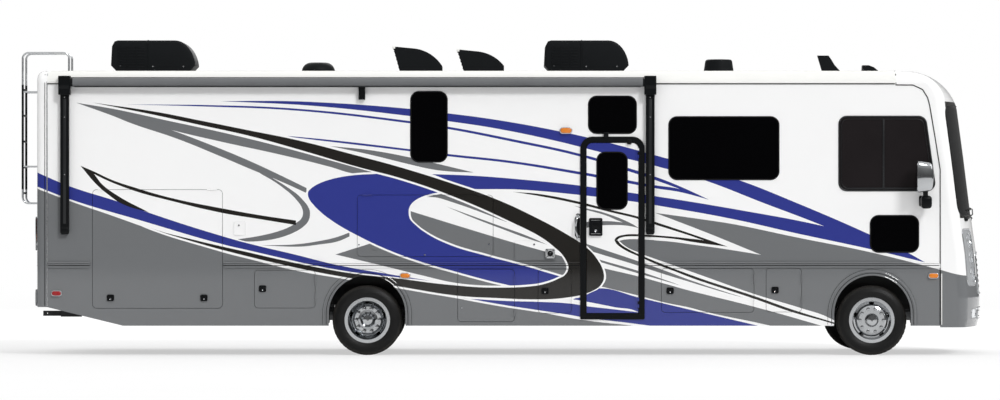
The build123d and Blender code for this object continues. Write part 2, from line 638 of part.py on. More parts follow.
def chassis_frame():
    """Ladder frame: channel rails, cross-members, body bolsters and the hitch receiver."""
    frame = Part()
    for side in (KERB, DRIVER):
        rail = side_block(RAIL_REAR_X, RAIL_FRONT_X, RAIL_Y - RAIL_W / 2, RAIL_Y + RAIL_W / 2,
                          RAIL_Z0, RAIL_Z1, side)
        rail -= side_block(RAIL_REAR_X - 1, RAIL_FRONT_X + 1, RAIL_Y - RAIL_W / 2 - 1,
                           RAIL_Y + RAIL_W / 2 - RAIL_T, RAIL_Z0 + RAIL_T, RAIL_Z1 - RAIL_T, side)
        frame += rail
    for x in CROSS_X:
        frame += block(x - 40.0, x + 40.0, -RAIL_Y, RAIL_Y, RAIL_Z1 - CROSS_H, RAIL_Z1)
    frame += block(RAIL_FRONT_X - 80.0, RAIL_FRONT_X, -RAIL_Y, RAIL_Y, RAIL_Z0 + RAIL_T, RAIL_Z1)
    frame += block(RAIL_REAR_X, RAIL_REAR_X + 60.0, -RAIL_Y, RAIL_Y, RAIL_Z0 + RAIL_T, RAIL_Z1)
    for x in BOLSTER_X:
        top = FLOOR_TOP_Z - FLOOR_T
        frame += block(x - BOLSTER_W / 2, x + BOLSTER_W / 2, -BOLSTER_HALF, BOLSTER_HALF, top - 60.0, top)
        for side in (KERB, DRIVER):
            frame += side_block(x - BOLSTER_W / 2, x + BOLSTER_W / 2, RAIL_Y - 30.0, RAIL_Y + 30.0,
                                RAIL_Z1 - 1.0, top - 59.0, side)
    return frame + hitch()


def hitch():
    """Square receiver tube under the rear, on a cross tube with side plates to the rails."""
    half = HITCH_INSIDE / 2
    outer = half + HITCH_WALL
    tube_end = RAIL_REAR_X + 40.0
    receiver = block(HITCH_MOUTH_X, tube_end, -outer, outer, HITCH_Z - outer, HITCH_Z + outer)
    reach = RAIL_Y + 8.0
    cross = block(RAIL_REAR_X, RAIL_REAR_X + 80.0, -reach, reach, HITCH_Z - outer, HITCH_Z + outer)
    body = receiver + cross
    for side in (KERB, DRIVER):
        body += side_block(RAIL_REAR_X, RAIL_REAR_X + 260.0, RAIL_Y - 8.0, RAIL_Y + 8.0,
                           HITCH_Z - outer, RAIL_Z0 + 5.0, side)
    body -= block(HITCH_MOUTH_X - 1.0, RAIL_REAR_X + 20.0, -half, half, HITCH_Z - half, HITCH_Z + half)
    pin_hole = rod((HITCH_PIN_X, -outer - 5.0, HITCH_Z), (HITCH_PIN_X, outer + 5.0, HITCH_Z), HITCH_PIN_R)
    return body - pin_hole


def leaf_springs(axle_x, seat_z):
    """Leaf springs under both rails, seated on the axle, with their hangers."""
    half, thick = 650.0, 50.0
    eye_z = RAIL_Z0 - 45.0
    pieces = []
    for side in (KERB, DRIVER):
        top = ThreePointArc((axle_x - half, eye_z), (axle_x, seat_z + thick), (axle_x + half, eye_z))
        low = ThreePointArc((axle_x + half, eye_z - 16.0), (axle_x, seat_z), (axle_x - half, eye_z - 16.0))
        face = make_face([top, Line(top @ 1, low @ 0), low, Line(low @ 1, top @ 0)])
        spring = side_solid(face, RAIL_Y - 38.0, RAIL_Y + 38.0, side)
        for end in (-half, half):
            spring += side_block(axle_x + end - 22.0, axle_x + end + 22.0, RAIL_Y - 30.0, RAIL_Y + 30.0,
                                 eye_z - 20.0, RAIL_Z0, side)
        pieces.append(spring)
    return pieces


def front_axle():
    """Straight I-beam with kingpin eyes, and the front springs."""
    z = TYRE_R
    beam = block(FRONT_AXLE_X - 35.0, FRONT_AXLE_X + 35.0, -KINGPIN_Y, KINGPIN_Y, z - 40.0, z + 40.0)
    for x_sign in (-1, 1):
        beam -= block(FRONT_AXLE_X + x_sign * 35.0 - 25.0, FRONT_AXLE_X + x_sign * 35.0 + 25.0,
                      -KINGPIN_Y + 120.0, KINGPIN_Y - 120.0, z - 24.0, z + 24.0)
    for side in (KERB, DRIVER):
        eye = Pos(FRONT_AXLE_X, side * KINGPIN_Y, z) * Cylinder(KNUCKLE_R, 80.0)
        bore = Pos(FRONT_AXLE_X, side * KINGPIN_Y, z) * Cylinder(KINGPIN_R + RUNNING, 120.0)
        beam = beam + eye - side_block(FRONT_AXLE_X - 60.0, FRONT_AXLE_X + 60.0, KINGPIN_Y, KINGPIN_Y + 60.0,
                                       z - 60.0, z + 60.0, side)
        beam = beam + eye - bore
    for spring in leaf_springs(FRONT_AXLE_X, z + 39.0):
        beam += spring
    return beam


def knuckle(side):
    """Steering knuckle: two ears and a kingpin round the beam's eye, with the wheel spindle."""
    z = TYRE_R
    y = side * KINGPIN_Y
    body = Pos(FRONT_AXLE_X, y, z) * Cylinder(KINGPIN_R, 190.0)
    for z_sign in (-1, 1):
        ear_z = z + z_sign * 68.0
        body += Pos(FRONT_AXLE_X, y, ear_z) * Cylinder(KNUCKLE_R, 54.0)
        body += side_block(FRONT_AXLE_X - 30.0, FRONT_AXLE_X + 30.0, KINGPIN_Y, KINGPIN_Y + 72.0,
                           ear_z - 27.0, ear_z + 27.0, side)
    body += side_block(FRONT_AXLE_X - 30.0, FRONT_AXLE_X + 30.0, KINGPIN_Y + KNUCKLE_R + 6.0,
                       KINGPIN_Y + 72.0, z - 95.0, z + 95.0, side)
    body += rod((FRONT_AXLE_X, side * (KINGPIN_Y + 60.0), z), (FRONT_AXLE_X, side * (WHEEL_Y + 60.0), z),
                SPINDLE_R)
    return body


def rear_axle():
    """Rear axle tube with its differential, springs and the propeller shaft."""
    x, z = REAR_AXLE_X, TYRE_R
    axle = rod((x, -WHEEL_Y + DUAL_SPACING / 2 + 250.0, z), (x, WHEEL_Y - DUAL_SPACING / 2 - 250.0, z), 62.0)
    spindle = WHEEL_Y - DUAL_SPACING / 2
    axle += rod((x, -spindle, z), (x, spindle, z), REAR_SPINDLE_R)
    axle += Pos(x, 0, z) * Sphere(DIFF_R)
    axle += rod((x, 0, z), (x + 300.0, 0, z + 20.0), 70.0)
    for spring in leaf_springs(x, z + 57.0):
        axle += spring
    return axle


def tyre():
    """Tyre at the origin, axis along Z."""
    half = TYRE_W / 2
    face = outline((RIM_SEAT_R, -half + 26.0), (330.0, -half), (398.0, -half + 10.0), (TYRE_R, -half + 36.0),
                   (TYRE_R, half - 36.0), (398.0, half - 10.0), (330.0, half), (RIM_SEAT_R, half - 26.0))
    return revolve(Plane.XZ * face, Axis.Z)


def barrel(mid):
    """Rim barrel with its two flanges, the middle plane at a height along Z."""
    seat = RIM_SEAT_R - RUNNING
    half = TYRE_W / 2 - 9.0
    lip = TYRE_W / 2 - 17.0
    face = outline((seat - 12.0, mid - half), (277.0, mid - half), (277.0, mid - lip), (seat, mid - lip),
                   (seat, mid + lip), (277.0, mid + lip), (277.0, mid + half), (seat - 12.0, mid + half))
    return revolve(Plane.XZ * face, Axis.Z)


def hand_holes(z_low, z_high):
    """Cutters for the slots round a wheel disc."""
    slots = [Rot(0, 0, 360.0 * i / HAND_HOLES + 90.0) * Pos(HAND_HOLE_R, 0) * Rot(0, 0, 90.0)
             * SlotOverall(66.0, 27.0) for i in range(HAND_HOLES)]
    return [Pos(0, 0, z_low) * extrude(slot, amount=z_high - z_low) for slot in slots]


def lugs(z_low, z_high):
    """Wheel nuts on their circle."""
    pieces = []
    for i in range(LUG_COUNT):
        angle = radians(360.0 * i / LUG_COUNT)
        spot = Pos(LUG_CIRCLE_R * cos(angle), LUG_CIRCLE_R * sin(angle), (z_low + z_high) / 2)
        pieces.append(spot * Cylinder(15.0, z_high - z_low))
    return pieces


def front_rim():
    """Front wheel, outboard along +Z: barrel, dished disc, hub with a cap, and lugs."""
    bore_end = 61.0
    dish = outline((0, 88), (150, 88), (172, 78), (196, 52), (240, 44), (240, 54), (200, 62), (178, 88),
                   (156, 98), (84, 98), (78, 128), (62, 146), (0, 150))
    hub = outline((0, -60.0), (92.0, -60.0), (92.0, 20.0), (120.0, 60.0), (120.0, 92.0), (0, 92.0))
    rim = revolve(Plane.XZ * dish, Axis.Z) + revolve(Plane.XZ * hub, Axis.Z) + barrel(0.0)
    for piece in lugs(94.0, 122.0):
        rim += piece
    for hole in hand_holes(20.0, 100.0):
        rim -= hole
    rim -= Pos(0, 0, (bore_end - 61.0) / 2) * Cylinder(SPINDLE_R + RUNNING, bore_end + 61.0)
    return rim


def rear_rims():
    """Twin rear wheels on one hub, outboard along +Z, the middle plane between them at zero."""
    mid = DUAL_SPACING / 2
    outer_disc = outline((0, 0), (165, 0), (200, 26), (240, 92), (240, 104), (194, 36), (160, 12), (0, 12))
    inner_disc = outline((0, -12), (160, -12), (194, -36), (240, -104), (240, -92), (200, -26), (165, 0),
                         (0, 0))
    hub = outline((0, -150.0), (120.0, -150.0), (120.0, 20.0), (92.0, 26.0), (80.0, 70.0), (58.0, 118.0),
                  (0, 122.0))
    rims = revolve(Plane.XZ * outer_disc, Axis.Z) + revolve(Plane.XZ * inner_disc, Axis.Z)
    rims = rims + revolve(Plane.XZ * hub, Axis.Z) + barrel(mid) + barrel(-mid)
    for piece in lugs(10.0, 40.0):
        rims += piece
    for hole in hand_holes(-120.0, 120.0):
        rims -= hole
    bore = REAR_SPINDLE_R + RUNNING
    rims -= Pos(0, 0, -75.0 + RUNNING / 2) * Cylinder(bore, 152.0)
    return rims


def place_wheel(shape, x, y, side):
    """Put a wheel made along Z at its axle end, outboard side outwards."""
    return Plane(origin=(x, side * y, TYRE_R), x_dir=(1, 0, 0), z_dir=(0, side, 0)).location * shape


def ac_unit(x0):
    """Roof air conditioner: a drawn-in foot, a flat top and a nose that rounds down to the front."""
    base = ROOF_TOP_Z
    x1, crest = x0 + AC_L, x0 + 0.76 * AC_L
    heel, toe, tip = (x0 + AC_FOOT, base), (x1 - AC_FOOT, base), (x1, base + AC_TIP_H)
    nose = ThreePointArc((crest, AC_TOP_Z), (x1 - 0.075 * AC_L, base + 0.68 * (AC_TOP_Z - base)), tip)
    top_rear = (x0 + 0.5 * AC_FOOT, AC_TOP_Z)
    face = make_face([Line(heel, toe), Line(toe, tip), nose, Line((crest, AC_TOP_Z), top_rear),
                      Line(top_rear, (x0, base + AC_TIP_H)), Line((x0, base + AC_TIP_H), heel)])
    half = extrude(Plane.XZ * face, amount=-AC_W / 2, taper=AC_DRAFT)
    return half + mirror(half, Plane.XZ)


def vent_hood(hood):
    """Roof vent hood: raked rear edge and a top that curves down to the front."""
    base = ROOF_TOP_Z
    top = base + hood.height
    crest = (hood.x0 + 0.45 * (hood.x1 - hood.x0), top - 26.0)
    tip = (hood.x1, base + 94.0)
    edge = ThreePointArc(crest, (crest[0] + 0.62 * (hood.x1 - crest[0]), base + 0.68 * hood.height), tip)
    heel = hood.x0 + HOOD_RAKE
    face = make_face([Line((hood.x1, base), (heel, base)), Line((heel, base), (hood.x0, top)),
                      Line((hood.x0, top), crest), edge, Line(tip, (hood.x1, base))])
    return side_solid(face, -HOOD_W / 2, HOOD_W / 2, DRIVER)


def roof_vents():
    """Two vent hoods and the skylight dome."""
    s = SKYLIGHT
    dome = Pos(s.x, 0, ROOF_TOP_Z + s.height / 2) * Cylinder(s.radius, s.height)
    dome = fillet(dome.edges().sort_by(Axis.Z)[-1], s.height - s.rim)
    return [vent_hood(hood) for hood in HOODS] + [dome]


def antennas():
    """Satellite drum, shark-fin aerial and a low wedge on the front of the roof."""
    base = ROOF_TOP_Z
    drum = Pos(DRUM.x, 0, base + DRUM.height / 2) * Cone(DRUM.radius, DRUM.top_radius, DRUM.height)
    drum = fillet(drum.edges().sort_by(Axis.Z)[-1], 32.0)
    fin = side_solid(outline(*[(x, base + up) for x, up in FIN_POINTS]), -40.0, 40.0, DRIVER)
    wedge = side_solid(outline(*[(x, base + up) for x, up in WEDGE_POINTS]), -90.0, 90.0, DRIVER)
    return [drum, fin, wedge]


def awning():
    """Rolled awning in its cradle, with the two folded arms against the wall."""
    pieces = []
    roller_y = KERB * (HALF_WIDTH + ROLLER_OUT)
    roller = rod((ROLLER_X0, roller_y, ROLLER_Z), (ROLLER_X1, roller_y, ROLLER_Z), ROLLER_R)
    for x in ARM_X:
        post = side_block(x - ARM_W / 2, x + ARM_W / 2, HALF_WIDTH, HALF_WIDTH + ARM_PROUD,
                          ARM_Z0, ARM_Z1 + 60.0, KERB)
        head = side_block(x - 72.0, x + 72.0, HALF_WIDTH, HALF_WIDTH + 118.0, ARM_Z1, ARM_HEAD_Z1, KERB)
        pieces.append(post + head)
    cradle = side_block(CRADLE_X - 40.0, CRADLE_X + 40.0, HALF_WIDTH, HALF_WIDTH + 60.0,
                        3110.0, ROLLER_Z, KERB)
    whole = pieces[0] + pieces[1] + cradle + roller
    return whole


def ladder():
    """Tube ladder on the rear cap, hooked over the roof."""
    whole = Part()
    for y in LADDER_Y:
        path = FilletPolyline((REAR_X, y, LADDER_Z0), (LADDER_X, y, LADDER_Z0),
                              (LADDER_X, y, LADDER_Z1), (LADDER_ROOF_X, y, LADDER_Z1),
                              (LADDER_ROOF_X, y, ROOF_TOP_Z), radius=LADDER_BEND_R)
        start = Plane(origin=path @ 0, z_dir=path % 0)
        whole += sweep(start * Circle(LADDER_TUBE_R), path=path)
        for z in STANDOFF_Z:
            whole += rod((REAR_X, y, z), (LADDER_X, y, z), LADDER_TUBE_R - 2.5)
    for i in range(RUNG_COUNT):
        z = RUNG_Z0 + i * RUNG_PITCH
        whole += rod((LADDER_X, LADDER_Y[0], z), (LADDER_X, LADDER_Y[1], z), LADDER_TUBE_R - 1.5)
    return whole


def mirrors():
    """Door mirrors on arms from the cab sides, heads outboard."""
    pieces = []
    out = HALF_WIDTH + MIRROR_OUT
    grow = MIRROR_FOOT_GROW
    neck_in, neck_out = (out - reach for reach in MIRROR_NECK)
    for side in (KERB, DRIVER):
        foot = side_block(MIRROR_ARM_X0 - grow, MIRROR_ARM_X1 + grow,
                          HALF_WIDTH, HALF_WIDTH + MIRROR_FOOT_PROUD,
                          MIRROR_ARM_Z0 - grow, MIRROR_ARM_Z1 + grow, side)
        arm = side_block(MIRROR_ARM_X0, MIRROR_ARM_X1, HALF_WIDTH, neck_out,
                         MIRROR_ARM_Z0, MIRROR_ARM_Z1, side)
        neck = side_block(MIRROR_ARM_X0, MIRROR_ARM_X1, neck_in, neck_out, MIRROR_ARM_Z0, MIRROR_HEAD.z, side)
        head = side_solid(Pos(MIRROR_X, MIRROR_HEAD.z) * RectangleRounded(
            MIRROR_HEAD.length, MIRROR_HEAD.height, MIRROR_HEAD.radius), out - MIRROR_HEAD_W, out, side)
        pieces.append(foot + arm + neck + head)
    return pieces


def dashboard():
    """Dashboard across the cab, engine cover, steering column and wheel."""
    floor = FLOOR_TOP_Z
    face = outline((4960.0, floor), (5340.0, floor), (5340.0, 1140.0), (5500.0, 1500.0), (5500.0, 1830.0),
                   (5150.0, 2090.0), (4800.0, 2090.0), (4770.0, 1960.0), (4930.0, 1700.0))
    reach = HALF_WIDTH - WALL_T - DASH_GAP
    body = side_solid(face, -reach, reach, DRIVER)
    body += block(4350.0, 5000.0, -290.0, 290.0, floor, 1420.0)
    tilt = Plane(origin=(4480.0, SEAT_Y, 2150.0), x_dir=(0, 1, 0), z_dir=(-1, 0, 1))
    body += rod((4480.0, SEAT_Y, 2150.0), (4900.0, SEAT_Y, 1730.0), 32.0)
    body += tilt.location * Torus(215.0, 15.0)
    for angle in (90.0, 210.0, 330.0):
        end = tilt.from_local_coords((215.0 * cos(radians(angle)), 215.0 * sin(radians(angle)), 0.0))
        body += rod((4480.0, SEAT_Y, 2150.0), (end.X, end.Y, end.Z), 11.0)
    return body


def cab_seats():
    """Driver's and passenger's seats: pedestal, cushion and raked back."""
    seats = []
    for side in (KERB, DRIVER):
        y = side * SEAT_Y
        pedestal = block(3760.0, 4120.0, y - 190.0, y + 190.0, FLOOR_TOP_Z, 1560.0)
        cushion = fillet(block(3660.0, 4200.0, y - 260.0, y + 260.0, 1550.0, 1710.0).edges(), 40.0)
        back = side_solid(outline((3640.0, 1640.0), (3780.0, 1640.0), (3640.0, 2420.0), (3520.0, 2420.0)),
                          -240.0, 240.0, DRIVER)
        back = fillet(back.edges(), 35.0)
        head = fillet(block(3485.0, 3595.0, -130.0, 130.0, 2400.0, 2600.0).edges(), 35.0)
        seats.append(pedestal + cushion + Pos(0, y, 0) * (back + head))
    return seats


def house_floor():
    """Floor deck with the entry step well and the slide-out's runners."""
    z0, z1 = FLOOR_TOP_Z - FLOOR_T, FLOOR_TOP_Z
    inner = HALF_WIDTH - WALL_T
    deck = block(REAR_SEAM_X, FRONT_SEAM_X - 10.0, -inner, inner, z0, z1)
    tall = BAY_DOORS[KERB][0]
    margin = BAY_MARGIN + BAY_T
    deck -= side_block(tall.x0 - margin, tall.x1 + margin, BAY_INNER_Y, inner + 10.0, z0 - 1, z1 + 1, KERB)
    well_x0, well_x1 = ENTRY.x0 + ENTRY_RING_W, ENTRY.x1 - ENTRY_RING_W
    low = ENTRY.z0 + ENTRY_RING_W - 30.0
    tread = (z1 - low) / 2
    deck -= side_block(well_x0, well_x1, inner - 2 * STEP_DEPTH, inner + 10.0, z0 - 1, z1 + 1, KERB)
    first, second = -inner + STEP_DEPTH, -inner + 2 * STEP_DEPTH
    steps = outline((-inner, low), (first, low), (first, low + tread), (second, low + tread), (second, z1),
                    (second + STEP_T, z1), (second + STEP_T, low + tread - STEP_T),
                    (first + STEP_T, low + tread - STEP_T), (first + STEP_T, low - STEP_T),
                    (-inner, low - STEP_T))
    deck += front_solid(steps, well_x0 - STEP_T, well_x1 + STEP_T)
    for x in (well_x0 - STEP_T, well_x1):
        cheek = outline((-inner, low - STEP_T), (-inner + STEP_DEPTH + STEP_T, low - STEP_T),
                        (-inner + STEP_DEPTH + STEP_T, low + tread - STEP_T),
                        (-inner + 2 * STEP_DEPTH + STEP_T, low + tread - STEP_T),
                        (-inner + 2 * STEP_DEPTH + STEP_T, z0 + 1.0), (-inner, z0 + 1.0))
        deck += front_solid(cheek, x, x + STEP_T)
    for x in RUNNER_X:
        deck += side_block(x - RUNNER_W / 2, x + RUNNER_W / 2, HALF_WIDTH - SLIDE.depth + 30.0, inner,
                           z1 - 1.0, SLIDE.z0 + SLIDE_GAP - RUNNING, DRIVER)
    return deck


def slide_room():
    """Slide-out room: floor, ceiling, ends and the flanged outer wall with its window."""
    x0, x1 = SLIDE.x0 + SLIDE_GAP, SLIDE.x1 - SLIDE_GAP
    z0, z1 = SLIDE.z0 + SLIDE_GAP, SLIDE.z1 - SLIDE_GAP
    t = SLIDE_WALL_T
    wall_in, wall_out = HALF_WIDTH + SLIDE_SEAL, HALF_WIDTH + SLIDE_SEAL + SLIDE_WALL_T
    inner = HALF_WIDTH - SLIDE.depth
    room = side_block(x0, x1, inner, wall_in + 1.0, z0, z1, DRIVER)
    room -= side_block(x0 + t, x1 - t, inner - 1.0, wall_in + 2.0, z0 + t, z1 - t, DRIVER)
    f = SLIDE_FLANGE
    room += side_block(SLIDE.x0 - f, SLIDE.x1 + f, wall_in, wall_out, SLIDE.z0 - f, SLIDE.z1 + f, DRIVER)
    return room - side_solid(panel(SLIDE_WINDOW), wall_in - 50.0, wall_out + 10.0, DRIVER)


def slide_glass():
    """Pane of the slide-out room, bonded flush."""
    outer = HALF_WIDTH + SLIDE_SEAL + SLIDE_WALL_T + PANE_PROUD
    return side_solid(panel(SLIDE_WINDOW, -PANE_GAP), outer - PANE_T, outer, DRIVER)


def body_trim():
    """Belt mouldings and the wheel arch trims on both sides."""
    pieces = []
    for side in (KERB, DRIVER):
        for x0, x1 in BELT_RUNS[side]:
            pieces.append(side_block(x0, x1, HALF_WIDTH, HALF_WIDTH + BELT_PROUD, BELT_Z - BELT_H / 2,
                                     BELT_Z + BELT_H / 2, side))
        for axle_x in (FRONT_AXLE_X, REAR_AXLE_X):
            ring = arch(ARCH_TRIM_R, axle_x) - arch(ARCH_OPENING_R, axle_x)
            trim = side_solid(ring, HALF_WIDTH, HALF_WIDTH + BELT_PROUD, side)
            trim -= side_block(axle_x - 600.0, axle_x + 600.0, HALF_WIDTH - 1.0, HALF_WIDTH + 50.0,
                               -ARCH_LEG, SKIRT_BOTTOM_Z, side)
            pieces.append(trim)
    return pieces


def small_box(spot, side, proud, radius):
    """Small rounded box on the body side."""
    face = Pos((spot.x0 + spot.x1) / 2, (spot.z0 + spot.z1) / 2) * RectangleRounded(
        spot.x1 - spot.x0, spot.z1 - spot.z0, radius)
    return side_solid(face, HALF_WIDTH, HALF_WIDTH + proud, side)


def lamps():
    """Side markers, porch lamp, tail lamps and the rear roof markers."""
    pieces = [small_box(PORCH_LAMP, KERB, 40.0, 20.0)]
    for side in (KERB, DRIVER):
        pieces += [small_box(spot, side, LAMP_PROUD, 20.0) for spot in SIDE_LAMPS]
        pieces.append(front_solid(rounded(REAR_LAMP.width - 1.0, REAR_LAMP.height - 1.0, REAR_LAMP.radius,
                                          side * REAR_LAMP.y, REAR_LAMP.z), REAR_X - 14.0, REAR_X + 12.0))
    for i in range(-1, 2):
        pieces.append(block(REAR_X - 14.0, REAR_X, i * 170.0 - 35.0, i * 170.0 + 35.0, 3280.0, 3310.0))
    return pieces


def service_hatches():
    """Small flush hatches, the larger one with the water inlet plate on it."""
    pieces = [small_box(spot, KERB, HATCH_PROUD, 14.0) for spot in HATCHES]
    mouth = HALF_WIDTH + INLET.proud
    plate = side_solid(Pos(INLET.x, INLET.z) * RectangleRounded(INLET.size, INLET.size, 20.0),
                       HALF_WIDTH, mouth, KERB)
    bore = rod((INLET.x, -mouth - 1.0, INLET.z), (INLET.x, -mouth + INLET.depth, INLET.z), INLET.radius)
    pieces[-1] = pieces[-1] + plate - bore
    return pieces


def engine():
    """Engine with its gearbox as one plain mass, and the radiator behind the grille."""
    mass = block(4650.0, 5300.0, -300.0, 300.0, 540.0, 1000.0)
    mass += block(3900.0, 4651.0, -170.0, 170.0, 570.0, 880.0)
    for side in (KERB, DRIVER):
        mass += side_block(4900.0, 5020.0, 299.0, RAIL_Y, RAIL_Z0 + RAIL_T, RAIL_Z0 + RAIL_T + 60.0, side)
    mass += rod((3901.0, 0, 690.0), (REAR_AXLE_X + 302.0, 0, 450.0), 45.0)
    radiator = block(RAIL_FRONT_X, RAIL_FRONT_X + 70.0, -380.0, 380.0, 680.0, 1250.0)
    return [mass, radiator]


def fuel_tank():
    """Tank between the rails, its long edges rounded."""
    tank = block(-3950.0, -2950.0, -370.0, 370.0, 450.0, RAIL_Z1 - CROSS_H)
    return fillet(tank.edges().filter_by(Axis.X), 60.0)


def build_nodes():
    """All nodes by name, each a list of its shapes."""
    nodes = {}
    wall = seam_outline(REAR_SEAM_X, BELT_Z)
    walls = {side: cut_side(side_solid(wall, HALF_WIDTH - WALL_T, HALF_WIDTH, side), side)
             for side in (KERB, DRIVER)}
    skirts = {side: cut_side(side_solid(skirt_outline(), HALF_WIDTH - SKIRT_T, HALF_WIDTH, side), side)
              for side in (KERB, DRIVER)}
    bays = []
    for side in (KERB, DRIVER):
        for door in BAY_DOORS[side]:
            leaf, fixed = bay_door(door, side)
            nodes[door.name] = [leaf]
            for piece in fixed:
                if door.hinge == "top":
                    walls[side] += piece
                else:
                    skirts[side] += piece
            bays.append(bay(door, side))
    entry_leaf, entry_fixed = entry_door()
    nodes["chassis_frame"] = [chassis_frame()]
    nodes["front_axle"] = [front_axle()]
    nodes["rear_axle"] = [rear_axle()]
    nodes["engine"] = engine()
    nodes["fuel_tank"] = [fuel_tank()]
    nodes["house_floor"] = [house_floor()]
    nodes["side_wall_right"] = [walls[KERB]]
    nodes["side_wall_left"] = [walls[DRIVER]]
    nodes["skirt_right"] = [skirts[KERB]]
    nodes["skirt_left"] = [skirts[DRIVER]]
    nodes["body_trim"] = body_trim()
    nodes["roof"] = [roof()]
    nodes["rear_cap"] = [rear_cap()]
    nodes["front_cap"] = [front_cap()]
    nodes["windshield"] = [windshield()]
    nodes["grille"] = grille()
    nodes["headlamps"] = headlamps()
    nodes["lamps"] = lamps()
    nodes["side_windows"] = side_windows()
    nodes["entry_door_frame"] = [entry_frame(entry_fixed)]
    nodes["entry_door"] = [entry_leaf]
    outer = HALF_WIDTH + ENTRY_LEAF_PROUD + PANE_PROUD
    nodes["entry_door_glass"] = [side_solid(panel(ENTRY_WINDOW, -PANE_GAP), outer - PANE_T, outer, KERB)]
    nodes["storage_bays"] = bays
    nodes["wheel_housings"] = wheel_housings()
    nodes["dashboard"] = [dashboard()]
    nodes["cab_seats"] = cab_seats()
    nodes["air_conditioners"] = [ac_unit(x0) for x0 in AC_X0]
    nodes["roof_vents"] = roof_vents()
    nodes["antennas"] = antennas()
    nodes["awning"] = [awning()]
    nodes["ladder"] = [ladder()]
    nodes["mirrors"] = mirrors()
    nodes["service_hatches"] = service_hatches()
    nodes["slide_room"] = [slide_room()]
    nodes["slide_glass"] = [slide_glass()]
    mid = WHEEL_Y - DUAL_SPACING / 2
    for side, word in ((KERB, "right"), (DRIVER, "left")):
        nodes[f"knuckle_{word}"] = [knuckle(side)]
        nodes[f"front_tyre_{word}"] = [place_wheel(tyre(), FRONT_AXLE_X, WHEEL_Y, side)]
        nodes[f"front_rim_{word}"] = [place_wheel(front_rim(), FRONT_AXLE_X, WHEEL_Y, side)]
        nodes[f"rear_tyres_{word}"] = [place_wheel(Pos(0, 0, shift) * tyre(), REAR_AXLE_X, mid, side)
                                       for shift in (-DUAL_SPACING / 2, DUAL_SPACING / 2)]
        nodes[f"rear_rims_{word}"] = [place_wheel(rear_rims(), REAR_AXLE_X, mid, side)]
    return nodes


def main():
    """Write one STEP file for each node."""
    os.makedirs("parts", exist_ok=True)
    for name, shapes in build_nodes().items():
        solids = [Pos(-MIDDLE_X, 0, 0) * solid for shape in shapes for solid in shape.solids()]
        export_step(Compound(children=solids), f"parts/{name}.step")
        print(name, len(solids))


if __name__ == "__main__":
    main()
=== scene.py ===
import logging
import math
from contextlib import contextmanager
from dataclasses import dataclass
from enum import Enum
from typing import Callable, Iterator, Optional, Sequence, Union

import bpy
from mathutils import Matrix, Vector


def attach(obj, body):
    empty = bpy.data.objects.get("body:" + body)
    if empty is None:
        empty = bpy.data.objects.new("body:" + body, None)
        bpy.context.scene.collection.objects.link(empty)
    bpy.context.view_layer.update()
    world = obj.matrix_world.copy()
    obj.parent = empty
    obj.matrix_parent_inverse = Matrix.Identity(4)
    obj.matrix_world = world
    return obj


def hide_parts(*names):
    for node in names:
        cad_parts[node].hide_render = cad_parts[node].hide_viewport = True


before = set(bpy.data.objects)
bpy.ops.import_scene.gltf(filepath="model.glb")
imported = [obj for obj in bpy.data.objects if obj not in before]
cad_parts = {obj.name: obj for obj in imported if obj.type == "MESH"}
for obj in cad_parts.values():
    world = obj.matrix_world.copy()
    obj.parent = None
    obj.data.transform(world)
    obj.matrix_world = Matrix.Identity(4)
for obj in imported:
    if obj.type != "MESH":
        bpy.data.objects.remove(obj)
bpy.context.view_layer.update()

log = logging.getLogger("motorhome")

MM = 0.001
KERB, DRIVER = -1, 1
BODY_Y = 1.280
# Lengths below run from the photograph's middle, which lies this far behind the frame's origin
MIDDLE_X = 0.047
ROOT = "coach"

Point = tuple[float, float]
Vec3 = tuple[float, float, float]
Piece = bpy.types.Object
Tree = bpy.types.NodeTree
Socket = bpy.types.NodeSocket
NodeInput = Union[float, tuple, Socket, bpy.types.Node]

WHITE = (1.0, 1.0, 1.0, 1.0)
SIDES = {"kerb": KERB, "driver": DRIVER}
KERB_WAY: Vec3 = (0.0, -1.0, 0.0)
REAR_WAY: Vec3 = (-1.0, 0.0, 0.0)
# Wheels, the roof's face, and the seams where the caps meet the body
FRONT_AXLE, REAR_AXLE = 4.525, -1.622
AXLE_Z, WHEEL_Y = 0.425, 1.083
ROOF_Z = 3.460
FRONT_SEAM, REAR_SEAM = 4.812, -5.515


# Photograph: 12.165 mm a pixel, the ground at its row 355.4, the body leaning 0.005 nose down
PX_M = 0.012165
PHOTO_MID_PX = 500.4
PHOTO_GROUND_PX = 355.4
PHOTO_LEAN = 0.005
VIEW_DISTANCE = 54.0
VIEW_HEIGHT = 1.890
SENSOR_MM = 36.0


def photo_x(px: float) -> float:
    """Metres forward of the frame's origin for a photo column."""
    return (px - PHOTO_MID_PX) * PX_M - MIDDLE_X


def photo_z(px: float, py: float) -> float:
    """Metres above the ground for a photo point, with the body's lean taken out."""
    return (PHOTO_GROUND_PX - py) * PX_M + PHOTO_LEAN * photo_x(px)


